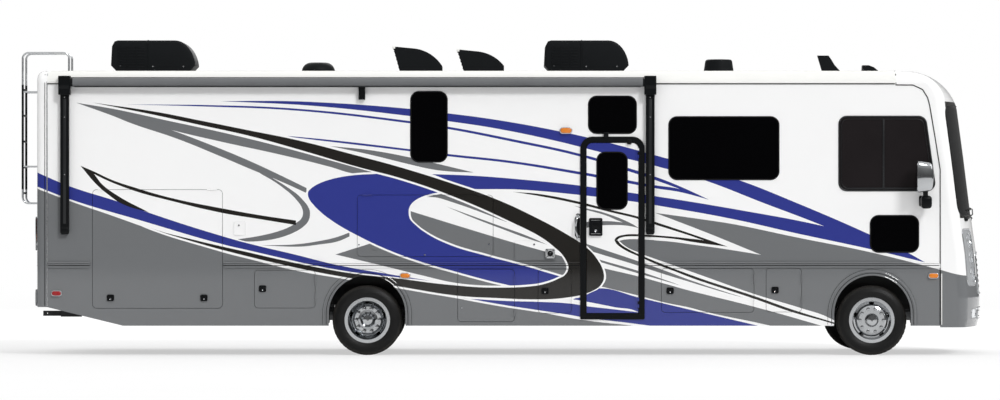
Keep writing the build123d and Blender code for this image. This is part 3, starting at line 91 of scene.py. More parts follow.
class Look(Enum):
    """The finishes of the coach."""

    LIVERY = "sprayed body paint"
    ROOF = "white roof membrane"
    TINTED = "tinted window glass"
    CAB_GLASS = "lightly tinted cab glass"
    SMOKE = "smoke-tinted cab side glass"
    RUBBER = "tyre rubber"
    SEAL = "black seal rubber"
    CHROME = "chromed steel"
    BRUSHED = "bright-dipped aluminium"
    BLACK = "black powder coat"
    BLACK_ABS = "black grained ABS"
    SATIN = "satin black aluminium"
    WHITE_ABS = "white ABS"
    CHASSIS = "black chassis paint"
    IRON = "cast iron"
    PLYWOOD = "sealed plywood"
    BAY = "grey polyethylene"
    TANK = "black polyethylene"
    DASH = "moulded dash vinyl"
    LEATHER = "seat leather"
    AMBER = "amber lens"
    RED = "red lens"
    CLEAR = "clear lens"
    AWNING = "awning vinyl"
    MIRROR = "mirror glass"
    REFLECTOR = "lamp reflector"
    SEALANT = "white lap sealant"
    FLOOR = "studio floor"


def linear(colour: str) -> tuple[float, float, float, float]:
    """Turn an sRGB hex colour to linear.

    Args:
        colour: Six hex digits after a hash.

    Returns:
        Linear red, green, blue and full alpha.
    """
    parts = [int(colour[i:i + 2], 16) / 255.0 for i in (1, 3, 5)]
    light = [p / 12.92 if p <= 0.04045 else ((p + 0.055) / 1.055) ** 2.4 for p in parts]
    return (*light, 1.0)


def add_node(tree: Tree, kind: str, inputs: Optional[dict[Union[str, int], NodeInput]] = None,
             **settings: Union[str, bool]) -> bpy.types.Node:
    """Add one node with its settings, values and links.

    Args:
        tree: Node tree that gets the node.
        kind: Blender's name for the type of node, without its first word ShaderNode.
        inputs: Values, sockets or nodes for its inputs, by name or number. A node gives its first output.
        settings: Properties of the node.

    Returns:
        The new node.
    """
    node = tree.nodes.new(f"ShaderNode{kind}")
    for name, value in settings.items():
        setattr(node, name, value)
    for key, value in (inputs or {}).items():
        if isinstance(value, bpy.types.Node):
            value = value.outputs[0]
        if isinstance(value, Socket):
            tree.links.new(value, node.inputs[key])
        else:
            node.inputs[key].default_value = value
    return node


def new_material(name: str) -> tuple[bpy.types.Material, Tree]:
    """Make an empty node material.

    Args:
        name: Name of the finish.

    Returns:
        The material and its node tree.
    """
    material = bpy.data.materials.new(name)
    material.use_nodes = True
    material.node_tree.nodes.clear()
    return material, material.node_tree


@dataclass(frozen=True)
class Finish:
    """A plain finish: colour with slow mottling, fine grain in its gloss and relief.

    Sizes are in millimetres. The stretch divides the grain's frequency along X, Y and Z.
    """

    look: Look
    colour: str
    roughness: float
    metallic: float = 0.0
    coat: float = 0.0
    coat_roughness: float = 0.05
    ior: float = 1.5
    mottle: float = 0.06
    mottle_mm: float = 350.0
    grain_mm: float = 4.0
    relief_mm: float = 0.05
    stretch: Vec3 = (1.0, 1.0, 1.0)
    gloss_swing: float = 0.12
    specular: float = 0.5
    transmission: float = 0.0

    def colouring(self, tree: Tree, point: Socket) -> Socket:
        """Colour with its slow mottling.

        Args:
            tree: Node tree of the material.
            point: Object coordinates.

        Returns:
            The colour output.
        """
        cloud = add_node(tree, "TexNoise",
                         {"Vector": point, "Scale": 1.0 / (self.mottle_mm * MM), "Detail": 4.0})
        base = linear(self.colour)[:3]
        dark = (*(c * (1.0 - self.mottle) for c in base), 1.0)
        pale = (*(min(c * (1.0 + self.mottle), 1.0) for c in base), 1.0)
        return add_node(tree, "Mix", {0: cloud, 6: dark, 7: pale}, data_type="RGBA").outputs[2]

    def surface(self, tree: Tree, point: Socket) -> tuple[NodeInput, NodeInput, NodeInput]:
        """Colour, roughness and relief.

        Args:
            tree: Node tree of the material.
            point: Object coordinates.

        Returns:
            What drives the base colour, the roughness and the normal.
        """
        spread = add_node(tree, "Mapping", {
            "Vector": point, "Scale": tuple(1.0 / (self.grain_mm * MM * s) for s in self.stretch)})
        grain = add_node(tree, "TexNoise", {"Vector": spread, "Scale": 1.0, "Detail": 3.0})
        gloss = add_node(tree, "MapRange",
                         {"Value": grain, "To Min": max(self.roughness - self.gloss_swing / 2, 0.02),
                                            "To Max": min(self.roughness + self.gloss_swing / 2, 1.0)})
        relief = add_node(tree, "Bump", {"Height": grain, "Strength": 1.0, "Distance": self.relief_mm * MM})
        return self.colouring(tree, point), gloss, relief

    def build(self) -> bpy.types.Material:
        """Make the material and return it."""
        material, tree = new_material(self.look.value)
        colour, gloss, relief = self.surface(tree, add_node(tree, "TexCoord").outputs["Object"])
        shader = add_node(tree, "BsdfPrincipled", {
            "Base Color": colour, "Roughness": gloss, "Normal": relief, "Metallic": self.metallic,
            "IOR": self.ior, "Specular IOR Level": self.specular, "Coat Weight": self.coat,
            "Coat Roughness": self.coat_roughness, "Transmission Weight": self.transmission})
        add_node(tree, "OutputMaterial", {"Surface": shader})
        return material


@dataclass(frozen=True)
class Glazing(Finish):
    """Glass or clear plastic: tinted, with a faint waviness."""

    transmission: float = 1.0


@dataclass(frozen=True)
class RibbedLens(Glazing):
    """Moulded lamp lens with prisms a few millimetres apart."""

    rib_mm: float = 12.0

    def surface(self, tree: Tree, point: Socket) -> tuple[NodeInput, NodeInput, NodeInput]:
        """Colour, even roughness and the relief of the prisms.

        Args:
            tree: Node tree of the material.
            point: Object coordinates.

        Returns:
            What drives the base colour, the roughness and the normal.
        """
        ribs = add_node(tree, "TexWave",
                        {"Vector": point, "Scale": 0.5 / (self.rib_mm * MM), "Distortion": 0.0},
                        bands_direction="DIAGONAL")
        relief = add_node(tree, "Bump", {"Height": ribs.outputs["Fac"], "Strength": 1.0,
                                         "Distance": self.relief_mm * MM})
        return self.colouring(tree, point), self.roughness, relief


@dataclass(frozen=True)
class TyreRubber(Finish):
    """Tyre rubber: moulded rings round the axle on the sidewall, and a dusty matt tread."""

    ring_mm: float = 9.0
    tread_r: float = 0.405
    dust: str = "#3A3835"
    dusty_roughness: float = 0.85

    def surface(self, tree: Tree, point: Socket) -> tuple[NodeInput, NodeInput, NodeInput]:
        """Dusty tread, matt where it is dusty, and rings that follow the nearer axle.

        Args:
            tree: Node tree of the material.
            point: Object coordinates.

        Returns:
            What drives the base colour, the roughness and the normal.
        """
        axes = add_node(tree, "SeparateXYZ", {0: point})
        front, rear = (add_node(tree, "Math", {0: add_node(
            tree, "Math", {0: axes, 1: axle - MIDDLE_X}, operation="SUBTRACT")}, operation="ABSOLUTE")
            for axle in (FRONT_AXLE, REAR_AXLE))
        reach = add_node(tree, "Math", {0: front, 1: rear}, operation="MINIMUM")
        up = add_node(tree, "Math", {0: axes.outputs[2], 1: AXLE_Z}, operation="SUBTRACT")
        flat = add_node(tree, "CombineXYZ", {0: reach, 2: up})
        radius = add_node(tree, "VectorMath", {0: flat}, operation="LENGTH").outputs["Value"]
        turn = add_node(tree, "Math", {0: radius, 1: 2.0 * math.pi / (self.ring_mm * MM)},
                        operation="MULTIPLY")
        rings = add_node(tree, "Math", {0: turn}, operation="SINE")
        dust = add_node(tree, "MapRange", {"Value": radius, "From Min": self.tread_r - 0.02,
                                           "From Max": self.tread_r,
                                           "To Min": 0.0, "To Max": 1.0})
        cloud = add_node(tree, "TexNoise", {"Vector": point, "Scale": 40.0, "Detail": 5.0})
        worn = add_node(tree, "Math", {0: dust, 1: cloud}, operation="MULTIPLY")
        colour = add_node(tree, "Mix", {0: worn, 6: linear(self.colour), 7: linear(self.dust)},
                          data_type="RGBA")
        gloss = add_node(tree, "MapRange",
                         {"Value": dust, "To Min": self.roughness, "To Max": self.dusty_roughness})
        relief = add_node(tree, "Bump", {"Height": rings, "Strength": 0.6, "Distance": self.relief_mm * MM})
        return colour.outputs[2], gloss, relief


class Paint(Enum):
    """Colours of the painted pattern."""

    WHITE = "#F1F1F1"
    GREY = "#6C6E70"
    BLUE = "#2C3585"
    BLACK = "#1C1A17"


@dataclass(frozen=True)
class Region:
    """Area between edge curves, each a listed row of photo points.

    The top and bottom edges run along the body, the left and right ones up it. An empty edge sets no limit.
    """

    top: tuple[Point, ...] = ()
    bottom: tuple[Point, ...] = ()
    left: tuple[Point, ...] = ()
    right: tuple[Point, ...] = ()


@dataclass(frozen=True)
class Stripe:
    """One painted shape: its colour, its area, a white keyline round it and the areas that it stays in.

    The keyline and the inset are in photo pixels. Ends give the first and last column of a blunt shape.
    """

    name: str
    paint: Paint
    region: Region
    keyline: float = 0.0
    inside: tuple[Region, ...] = ()
    inset: float = 2.0
    ends: tuple[Optional[float], Optional[float]] = (None, None)


LOOP_OUTER = Region(
    top=((92.5, 100.5), (158, 110.5), (200, 119), (250, 129.3), (295.7, 138.8), (359.4, 155.5), (400, 166.7),
         (450, 182.6), (495.7, 199), (537, 218.3), (567.4, 235), (585.7, 247), (592, 253)),
    right=((585.7, 247), (592, 253), (596, 258), (602.5, 269.3), (604, 277.3), (601, 285.2), (596, 289.6),
           (588, 293.4)),
    bottom=((92.5, 203), (121, 213), (150, 226), (200, 242.2), (250, 255.7), (279.7, 262.9), (321, 272),
            (351, 277.5),
            (402, 286.5), (458, 295.6), (495.7, 298), (535.5, 299.6), (572, 297.2), (588, 293.4),
            (596, 289.6)))
LOOP_INNER = Region(
    top=((92.5, 100.5), (158, 114), (200, 123.5), (250, 134.8), (295.7, 147.6), (359.4, 166.7), (400, 177.5),
         (450, 195), (511.6, 222.3), (543.5, 239), (559.4, 251.7)),
    right=((551, 244.5), (559.4, 251.7), (566.5, 261.5), (568.4, 268), (564.5, 275.7), (558, 279.2)),
    bottom=((92.5, 203), (121, 213), (150, 226), (200, 239.8), (250, 251.5), (279.7, 258.5), (321, 267.2),
            (351, 272.5), (398, 278), (447.8, 284.4), (495.7, 287.6), (535.5, 286), (551.5, 282),
            (558, 279.2)))
EYE = Region(
    top=((408.6, 206), (413.6, 201.2), (418, 198.3), (423, 196), (430, 193.8), (437, 192.4)),
    left=((418, 198.3), (413.6, 201.2), (409.6, 206.5), (408.7, 211), (409.8, 218), (414, 223.4)),
    bottom=((411, 220.5), (423.5, 231), (447.8, 243.8), (489, 256.5), (524.4, 266), (559.4, 276.5),
            (575, 281)))

STRIPES = (
    Stripe("rear skirt", Paint.GREY, Region(top=((36, 186), (70, 199), (110, 213), (150, 227.3), (222,
        250.7), (250, 258), (298, 270), (343, 278), (402, 288.5), (458, 298.3), (538, 312), (580, 320),
        (637, 327), (700, 337))), keyline=2.0),
    Stripe("front skirt", Paint.GREY, Region(top=((590, 265.4), (604.5, 269), (638, 277), (663, 284), (690,
        291.7), (705, 295.5), (753.3, 307.8), (823, 327.8), (850, 336)), bottom=((590, 284.2), (601, 287),
        (638, 296.2), (665, 303.4), (690, 308.6), (704.4, 312.6), (767.8, 326.5), (850, 348))), ends=(590,
        850)),
    Stripe("thin front", Paint.GREY, Region(top=((590, 257.1), (598.5, 259.8), (638, 271.5), (661, 279.3),
        (681, 286.5)), bottom=((590, 259.3), (598.5, 262), (638, 274), (661, 280.7), (681, 286.5))),
        ends=(590, None)),
    Stripe("middle front", Paint.GREY, Region(top=((577, 241), (587, 244.5), (639, 262.2), (665, 271.5),
        (690, 281), (744.4, 299.2)), bottom=((577, 247), (589, 251), (637, 266), (661, 274), (690, 283),
        (720, 292.3), (744.4, 299.2))), ends=(577, None)),
    Stripe("upper sliver by the handle", Paint.GREY, Region(top=((573.3, 206), (587, 209), (605, 213.5),
        (631, 224), (639, 228.8)), bottom=((573.3, 206), (587, 210.5), (605, 215.7), (620, 222), (639,
        228.8)))),
    Stripe("lower sliver by the handle", Paint.GREY, Region(top=((584, 222.5), (602, 221.6), (615, 222.2),
        (631, 225), (639, 228.8)), bottom=((584, 229), (590, 227.5), (602, 225.8), (615, 225.6), (629,
        226.6), (639, 228.8))), ends=(584, None)),
    Stripe("lower skirt blue", Paint.BLUE, Region(top=((466, 298), (490, 300), (514.4, 301.3), (537.8, 302),
        (571, 304), (586, 306.5), (615, 310), (637, 312.8), (700, 322)), bottom=((466, 298), (500, 304.3),
        (537.8, 310.3), (571, 315.5), (580, 317.2), (637, 324.7), (660, 328), (700, 335))), keyline=2.0,
        ends=(466, 700)),
    Stripe("upper skirt blue", Paint.BLUE, Region(top=((573, 299.7), (590, 292), (600, 288.8), (638, 298),
        (690, 310.6), (704, 314), (758.7, 327.2), (790, 335)), bottom=((573, 299.7), (586, 302), (615,
        307.8), (637, 312.3), (645, 320), (700, 345), (790, 350))), ends=(573, 790)),
    Stripe("over the loop", Paint.GREY, Region(top=((330, 145.2), (370, 149.5), (410, 157), (447, 165.8),
        (474, 172.4)), bottom=((330, 145.2), (370, 154), (410, 164), (430, 168.6), (447, 171), (474,
        172.4)))),
    Stripe("top blue", Paint.BLUE, Region(top=((220, 99.9), (260.6, 99.7), (311.6, 101), (410.5, 108.5),
        (447.4, 113), (495.7, 119.7), (559.4, 131.6), (591, 138.8), (654, 155.7), (738, 181), (795.4,
        203.9), (870, 236.5), (906.5, 254), (925, 264.5)), bottom=((220, 99.9), (250, 101.2), (311.6,
        104.8), (410.5, 115.7), (447.4, 120.8), (495.7, 128.4), (559.4, 142), (596, 151.5), (654, 166.3),
        (702, 180.4), (763.5, 204.3), (824, 227.8), (870, 248), (925, 264.5)))),
    Stripe("middle blue", Paint.BLUE, Region(top=((431.9, 173.8), (471.7, 175.5), (527.6, 180.2), (580,
        186), (637.6, 194.4), (654, 196.8), (731.6, 209.8), (824, 227.8), (870, 240), (925, 264.5)),
        bottom=((431.9, 173.8), (474.9, 189), (511.6, 189.3), (580, 195.4), (637.6, 202.9), (654, 205.7),
        (731.6, 220), (795.4, 234.6), (870, 251), (925, 264.5)))),
    Stripe("upper thin blue", Paint.BLUE, Region(top=((126, 102.6), (200, 103.4), (295.7, 107.6), (410.5,
        120.7), (447.4, 126.3), (511.6, 139), (580, 154.2), (627.5, 168.4), (654, 177), (680, 187.3), (709,
        200.7)), bottom=((126, 102.6), (200, 104.9), (295.7, 109.6), (410.5, 123), (447.4, 128.7), (511.6,
        141.6), (580, 156.9), (627.5, 171.6), (654, 180.5), (680, 190), (709, 200.7)))),
    Stripe("lower thin blue", Paint.BLUE, Region(top=((270, 133.3), (327.6, 138.8), (410.5, 148.8), (447.4,
        153.6), (511.6, 161), (580, 172.2), (627.5, 180.8), (654, 185.8), (680, 190), (709, 200.7)),
        bottom=((270, 133.3), (327.6, 140.6), (410.5, 150.9), (447.4, 155.9), (511.6, 163.4), (580, 175),
        (627.5, 183.8), (654, 188.9), (680, 193), (709, 200.7)))),
    Stripe("front grey", Paint.GREY, Region(top=((655, 213.6), (679, 217), (705, 220.8), (731.6, 225),
        (795.4, 238.6), (870, 254), (940.3, 272), (958, 276.8), (972, 278.6)), bottom=((655, 259.6), (690,
        272.2), (705, 277.6), (753.9, 295.2), (802.2, 310), (827.8, 318.9), (860, 340), (900, 400))),
        ends=(655, None)),
    Stripe("small loop grey", Paint.GREY, Region(top=((619, 241.5), (625, 240.2), (635, 239.8), (645,
        240.2), (656, 241)), bottom=((619, 241.5), (625, 246.5), (631, 250), (638, 252.8), (644, 255.5),
        (656, 260))), ends=(None, 656)),
    Stripe("front spike gap", Paint.WHITE, Region(top=((654, 213.2), (705, 233), (761, 256.1)),
        bottom=((654, 241), (675, 243), (690, 245.2), (716.7, 248.9), (761, 256.1))), ends=(654, None)),
    Stripe("thin front spike", Paint.BLACK, Region(top=((512.8, 192), (537.8, 194), (580, 202.3), (610,
        210.3), (638, 217.2), (654, 222.3), (690, 234.4), (702, 238.6), (727.8, 247.8)), bottom=((512.8,
        192), (537.8, 196), (580, 204.8), (610, 212.6), (638, 219.6), (654, 225), (690, 236.6), (702.8,
        241), (727.8, 247.8)))),
    Stripe("small loop upper arm", Paint.BLACK, Region(top=((614.4, 240.5), (616, 238.2), (618, 236.9),
        (622, 235.8), (631, 234.8), (639, 235), (651, 235.8), (675, 237.8), (690, 239.6), (702, 241),
        (727.8, 247.8)), bottom=((614.4, 240.5), (617.6, 240.4), (619, 239), (622, 237.9), (625, 237.3),
        (635, 236.9), (645, 237.4), (675, 239.9), (690, 242.5), (702, 244.4), (727.8, 247.8)))),
    Stripe("small loop lower arm", Paint.BLACK, Region(top=((614.4, 240.5), (617.6, 240.6), (619, 243),
        (621, 245), (627, 249), (639, 255), (645, 257.7), (665, 266), (690, 275.6), (705, 281), (753.9,
        297.2), (790, 310.2), (827.8, 322.2), (840, 326)), bottom=((614.4, 240.5), (615, 242.3), (616.5,
        244.4), (619, 246.7), (625, 250.7), (639, 257.2), (661, 267), (675, 272.3), (690, 278.3), (705,
        283.6), (753.9, 300), (790, 312.9), (827.8, 323.8), (840, 327.4))), ends=(None, 840)),
    Stripe("big loop", Paint.BLACK, LOOP_OUTER, keyline=2.0, ends=(92.5, None)),
    Stripe("inside the big loop", Paint.WHITE, LOOP_INNER, ends=(92.5, None)),
    Stripe("rear blue", Paint.BLUE, Region(top=((36.4, 169.9), (69.4, 184), (121, 200.7), (149, 211), (223,
        235), (250, 242.6), (295.7, 253.7), (335.5, 263.8), (389.7, 273.7), (430, 280.4)), bottom=((36.4,
        184), (69.4, 196.9), (143.5, 219.5), (223, 243), (250, 249.4), (279.7, 256.5), (311.6, 263.8), (348,
        270.7), (389.7, 275.9), (430, 280.4)))),
    Stripe("upper swoosh", Paint.GREY, Region(top=((76, 100.5), (116, 107.5), (170, 119.5), (222, 131),
        (280, 145.5), (330, 159.5), (372, 171.4)), bottom=((76, 100.5), (130, 116), (171, 128.2), (222,
        140.5), (280, 153.5), (330, 166), (352, 172.5), (372, 174))), ends=(None, 372)),
    Stripe("curl", Paint.GREY, Region(top=((237.5, 166), (248, 165.8), (262, 171.3), (276, 179), (288,
        186.6), (295.7, 192)), right=((288, 186.6), (295.7, 192), (303.6, 199.8), (308.2, 206), (310,
        211.9), (308.4, 219.9), (303, 226), (297, 230)), bottom=((237.5, 238), (247.8, 240.3), (262, 239.7),
        (276.5, 237.4), (289, 233.6), (297, 230))), ends=(237.5, None)),
    Stripe("inside the curl", Paint.WHITE, Region(top=((237.5, 165.5), (248, 165.5), (262, 173.3), (276,
        181.6), (288, 190.5)), right=((281, 185), (288, 190.5), (297, 199.5), (301.5, 206), (303, 211.9),
        (301, 218), (296, 222)), bottom=((237.5, 238.1), (262, 234.2), (280, 229.6), (290, 225.6), (296,
        222))), ends=(237.5, None)),
    Stripe("lower swoosh", Paint.GREY, Region(top=((76, 100.5), (130, 114), (171, 128.2), (202, 140), (248,
        159), (280, 174), (307, 187.3)), bottom=((76, 100.5), (116, 115.2), (130, 121), (178, 137.5), (222,
        155.6), (252, 168.5), (280, 180), (307, 192.3))), ends=(None, 306.5)),
    Stripe("rear spike, upper", Paint.BLACK, Region(top=((80.4, 163.6), (94, 169.5), (111.6, 177.8), (134,
        185.5), (170, 196), (222, 207), (260, 214), (297, 219.7)), bottom=((80.4, 163.6), (94, 172), (130,
        187.5), (174, 200), (222, 211.5), (260, 218), (297, 224.2))), ends=(None, 296)),
    Stripe("rear spike, lower", Paint.BLACK, Region(top=((80.4, 163.6), (92, 170), (102, 182.2), (118, 194),
        (149, 210.7)), bottom=((80.4, 163.6), (96, 182), (110, 194), (122, 202), (149, 210.7)))),
    Stripe("second arc", Paint.GREY, Region(top=((261.4, 244.2), (295.7, 243.3), (320, 240), (336, 236.5),
        (350, 231.6)), bottom=((261.4, 244.2), (295.7, 245.7), (320, 243.5), (338, 240.5), (350, 235.5))),
        ends=(None, 349.5)),
    Stripe("wedge", Paint.GREY, Region(top=((335.5, 253.7), (353, 248.2), (375, 241.4)), bottom=((335.5,
        253.7), (378, 264), (418, 274), (458, 283), (506, 286.4))), inside=(LOOP_INNER,)),
    Stripe("leaf", Paint.BLUE, Region(top=((309, 189.5), (313, 186), (320, 182.2), (327.6, 179.4), (340,
        176.4), (356, 174.3), (378.6, 173.1), (390, 172)), left=((316, 184), (311.5, 187), (308.6, 190),
        (307.9, 193), (309.4, 198.5), (314, 204.5)), bottom=((309, 199), (318, 208.7), (332, 219.9), (357,
        234.5), (391, 250.5), (423, 262), (455.8, 271.5), (492.5, 281.5), (511.6, 286), (525, 290), (575,
        300))), keyline=2.0, inside=(LOOP_INNER,)),
    Stripe("eye", Paint.WHITE, EYE, inside=(LOOP_INNER,), inset=0.0),
    Stripe("upper in the eye", Paint.GREY, Region(top=((420, 196.6), (431.9, 194.3), (440, 190)),
        bottom=((420, 196.6), (435, 197), (450, 201.2), (519.6, 227))), inside=(LOOP_INNER, EYE),
        ends=(None, 519.6)),
    Stripe("windshield surround", Paint.BLACK, Region(top=((940, 103.5), (1000, 103.5)), bottom=((940,
        220.5), (1000, 220.5)), left=((944.8, 100), (946.2, 110), (950.5, 140), (955.6, 175), (961.2,
        222)))),
    Stripe("thin in the eye", Paint.GREY, Region(top=((446, 206.1), (500, 226), (526.7, 235.8), (547,
        244.8)), bottom=((446, 206.1), (470, 216.5), (500, 228.2), (526.7, 238.3), (547, 244.8)))),
    Stripe("lower in the eye", Paint.GREY, Region(top=((409, 210.2), (500, 238.6), (516, 243.4), (562,
        256.7), (575, 261))), inside=(LOOP_INNER, EYE)),
)


@dataclass(frozen=True)
class Livery(Finish):
    """Sprayed two-stage body paint: flat colours masked one over another under a deep clear coat."""

    stripes: tuple[Stripe, ...] = STRIPES

    def edge(self, tree: Tree, along: Socket, across: Socket,
             points: list[Point], sign: float) -> Socket:
        """Distance inside one edge curve.

        Args:
            tree: Node tree of the material.
            along: Coordinate that runs along the edge.
            across: Coordinate that the edge limits.
            points: The curve, in metres.
            sign: 1 where the area lies below the curve, -1 where it lies above it.

        Returns:
            The distance in metres, positive inside.
        """
        curve = add_node(tree, "FloatCurve", {"Value": along})
        mapping = curve.mapping
        mapping.use_clip = False
        rows = sorted(points)
        line = mapping.curves[0].points
        line[0].location = rows[0]
        line[1].location = rows[-1]
        for row in rows[1:-1]:
            line.new(*row)
        for spot in line:
            spot.handle_type = "AUTO_CLAMPED"
        mapping.update()
        first, second = (curve.outputs[0], across) if sign > 0 else (across, curve.outputs[0])
        return add_node(tree, "Math", {0: first, 1: second}, operation="SUBTRACT").outputs[0]

    def smaller(self, tree: Tree, first: Optional[Socket],
                second: Socket) -> Socket:
        """The smaller of two distances, or the second alone."""
        if first is None:
            return second
        return add_node(tree, "Math", {0: first, 1: second}, operation="MINIMUM").outputs[0]

    def depth(self, tree: Tree, x: Socket, z: Socket,
              region: Region) -> Socket:
        """How far a point lies inside a region.

        Args:
            tree: Node tree of the material.
            x: Coordinate along the body.
            z: Height.
            region: The area.

        Returns:
            The distance to its nearest edge, positive inside.
        """
        result: Optional[Socket] = None
        for points, sign in ((region.top, 1.0), (region.bottom, -1.0)):
            if points:
                rows = [(photo_x(px), photo_z(px, py)) for px, py in points]
                result = self.smaller(tree, result, self.edge(tree, x, z, rows, sign))
        for points, sign in ((region.right, 1.0), (region.left, -1.0)):
            if points:
                rows = [(photo_z(px, py), photo_x(px)) for px, py in points]
                result = self.smaller(tree, result, self.edge(tree, z, x, rows, sign))
        return result

    def colouring(self, tree: Tree, point: Socket) -> Socket:
        """The whole pattern, each shape painted over the ones before.

        Args:
            tree: Node tree of the material.
            point: Object coordinates.

        Returns:
            The colour output.
        """
        axes = add_node(tree, "SeparateXYZ", {0: point})
        x, z = axes.outputs[0], axes.outputs[2]
        white = linear(Paint.WHITE.value)
        held = {id(area): self.depth(tree, x, z, area) for area in (LOOP_INNER, EYE)}
        colour: NodeInput = white
        for stripe in self.stripes:
            inside = self.depth(tree, x, z, stripe.region)
            for px, sign in zip(stripe.ends, (1.0, -1.0)):
                if px is not None:
                    reach = add_node(tree, "Math", {0: x, 1: sign, 2: -sign * photo_x(px)},
                                     operation="MULTIPLY_ADD")
                    inside = self.smaller(tree, inside, reach.outputs[0])
            for area in stripe.inside:
                drawn = add_node(tree, "Math", {0: held[id(area)], 1: stripe.inset * PX_M},
                                 operation="SUBTRACT")
                inside = self.smaller(tree, inside, drawn.outputs[0])
            layers = [(0.0, linear(stripe.paint.value))]
            if stripe.keyline:
                layers.insert(0, (-stripe.keyline * PX_M, white))
            for limit, paint in layers:
                mask = add_node(tree, "Math", {0: inside, 1: limit}, operation="GREATER_THAN")
                mix = add_node(tree, "Mix", {0: mask, 6: colour, 7: paint}, data_type="RGBA")
                colour = mix.outputs[2]
        cloud = add_node(tree, "TexNoise",
                         {"Vector": point, "Scale": 1.0 / (self.mottle_mm * MM), "Detail": 3.0})
        tone = add_node(tree, "MapRange", {
            "Value": cloud, "To Min": 1.0 - self.mottle, "To Max": 1.0})
        return add_node(tree, "Mix", {0: 1.0, 6: colour, 7: tone}, data_type="RGBA",
                        blend_type="MULTIPLY").outputs[2]


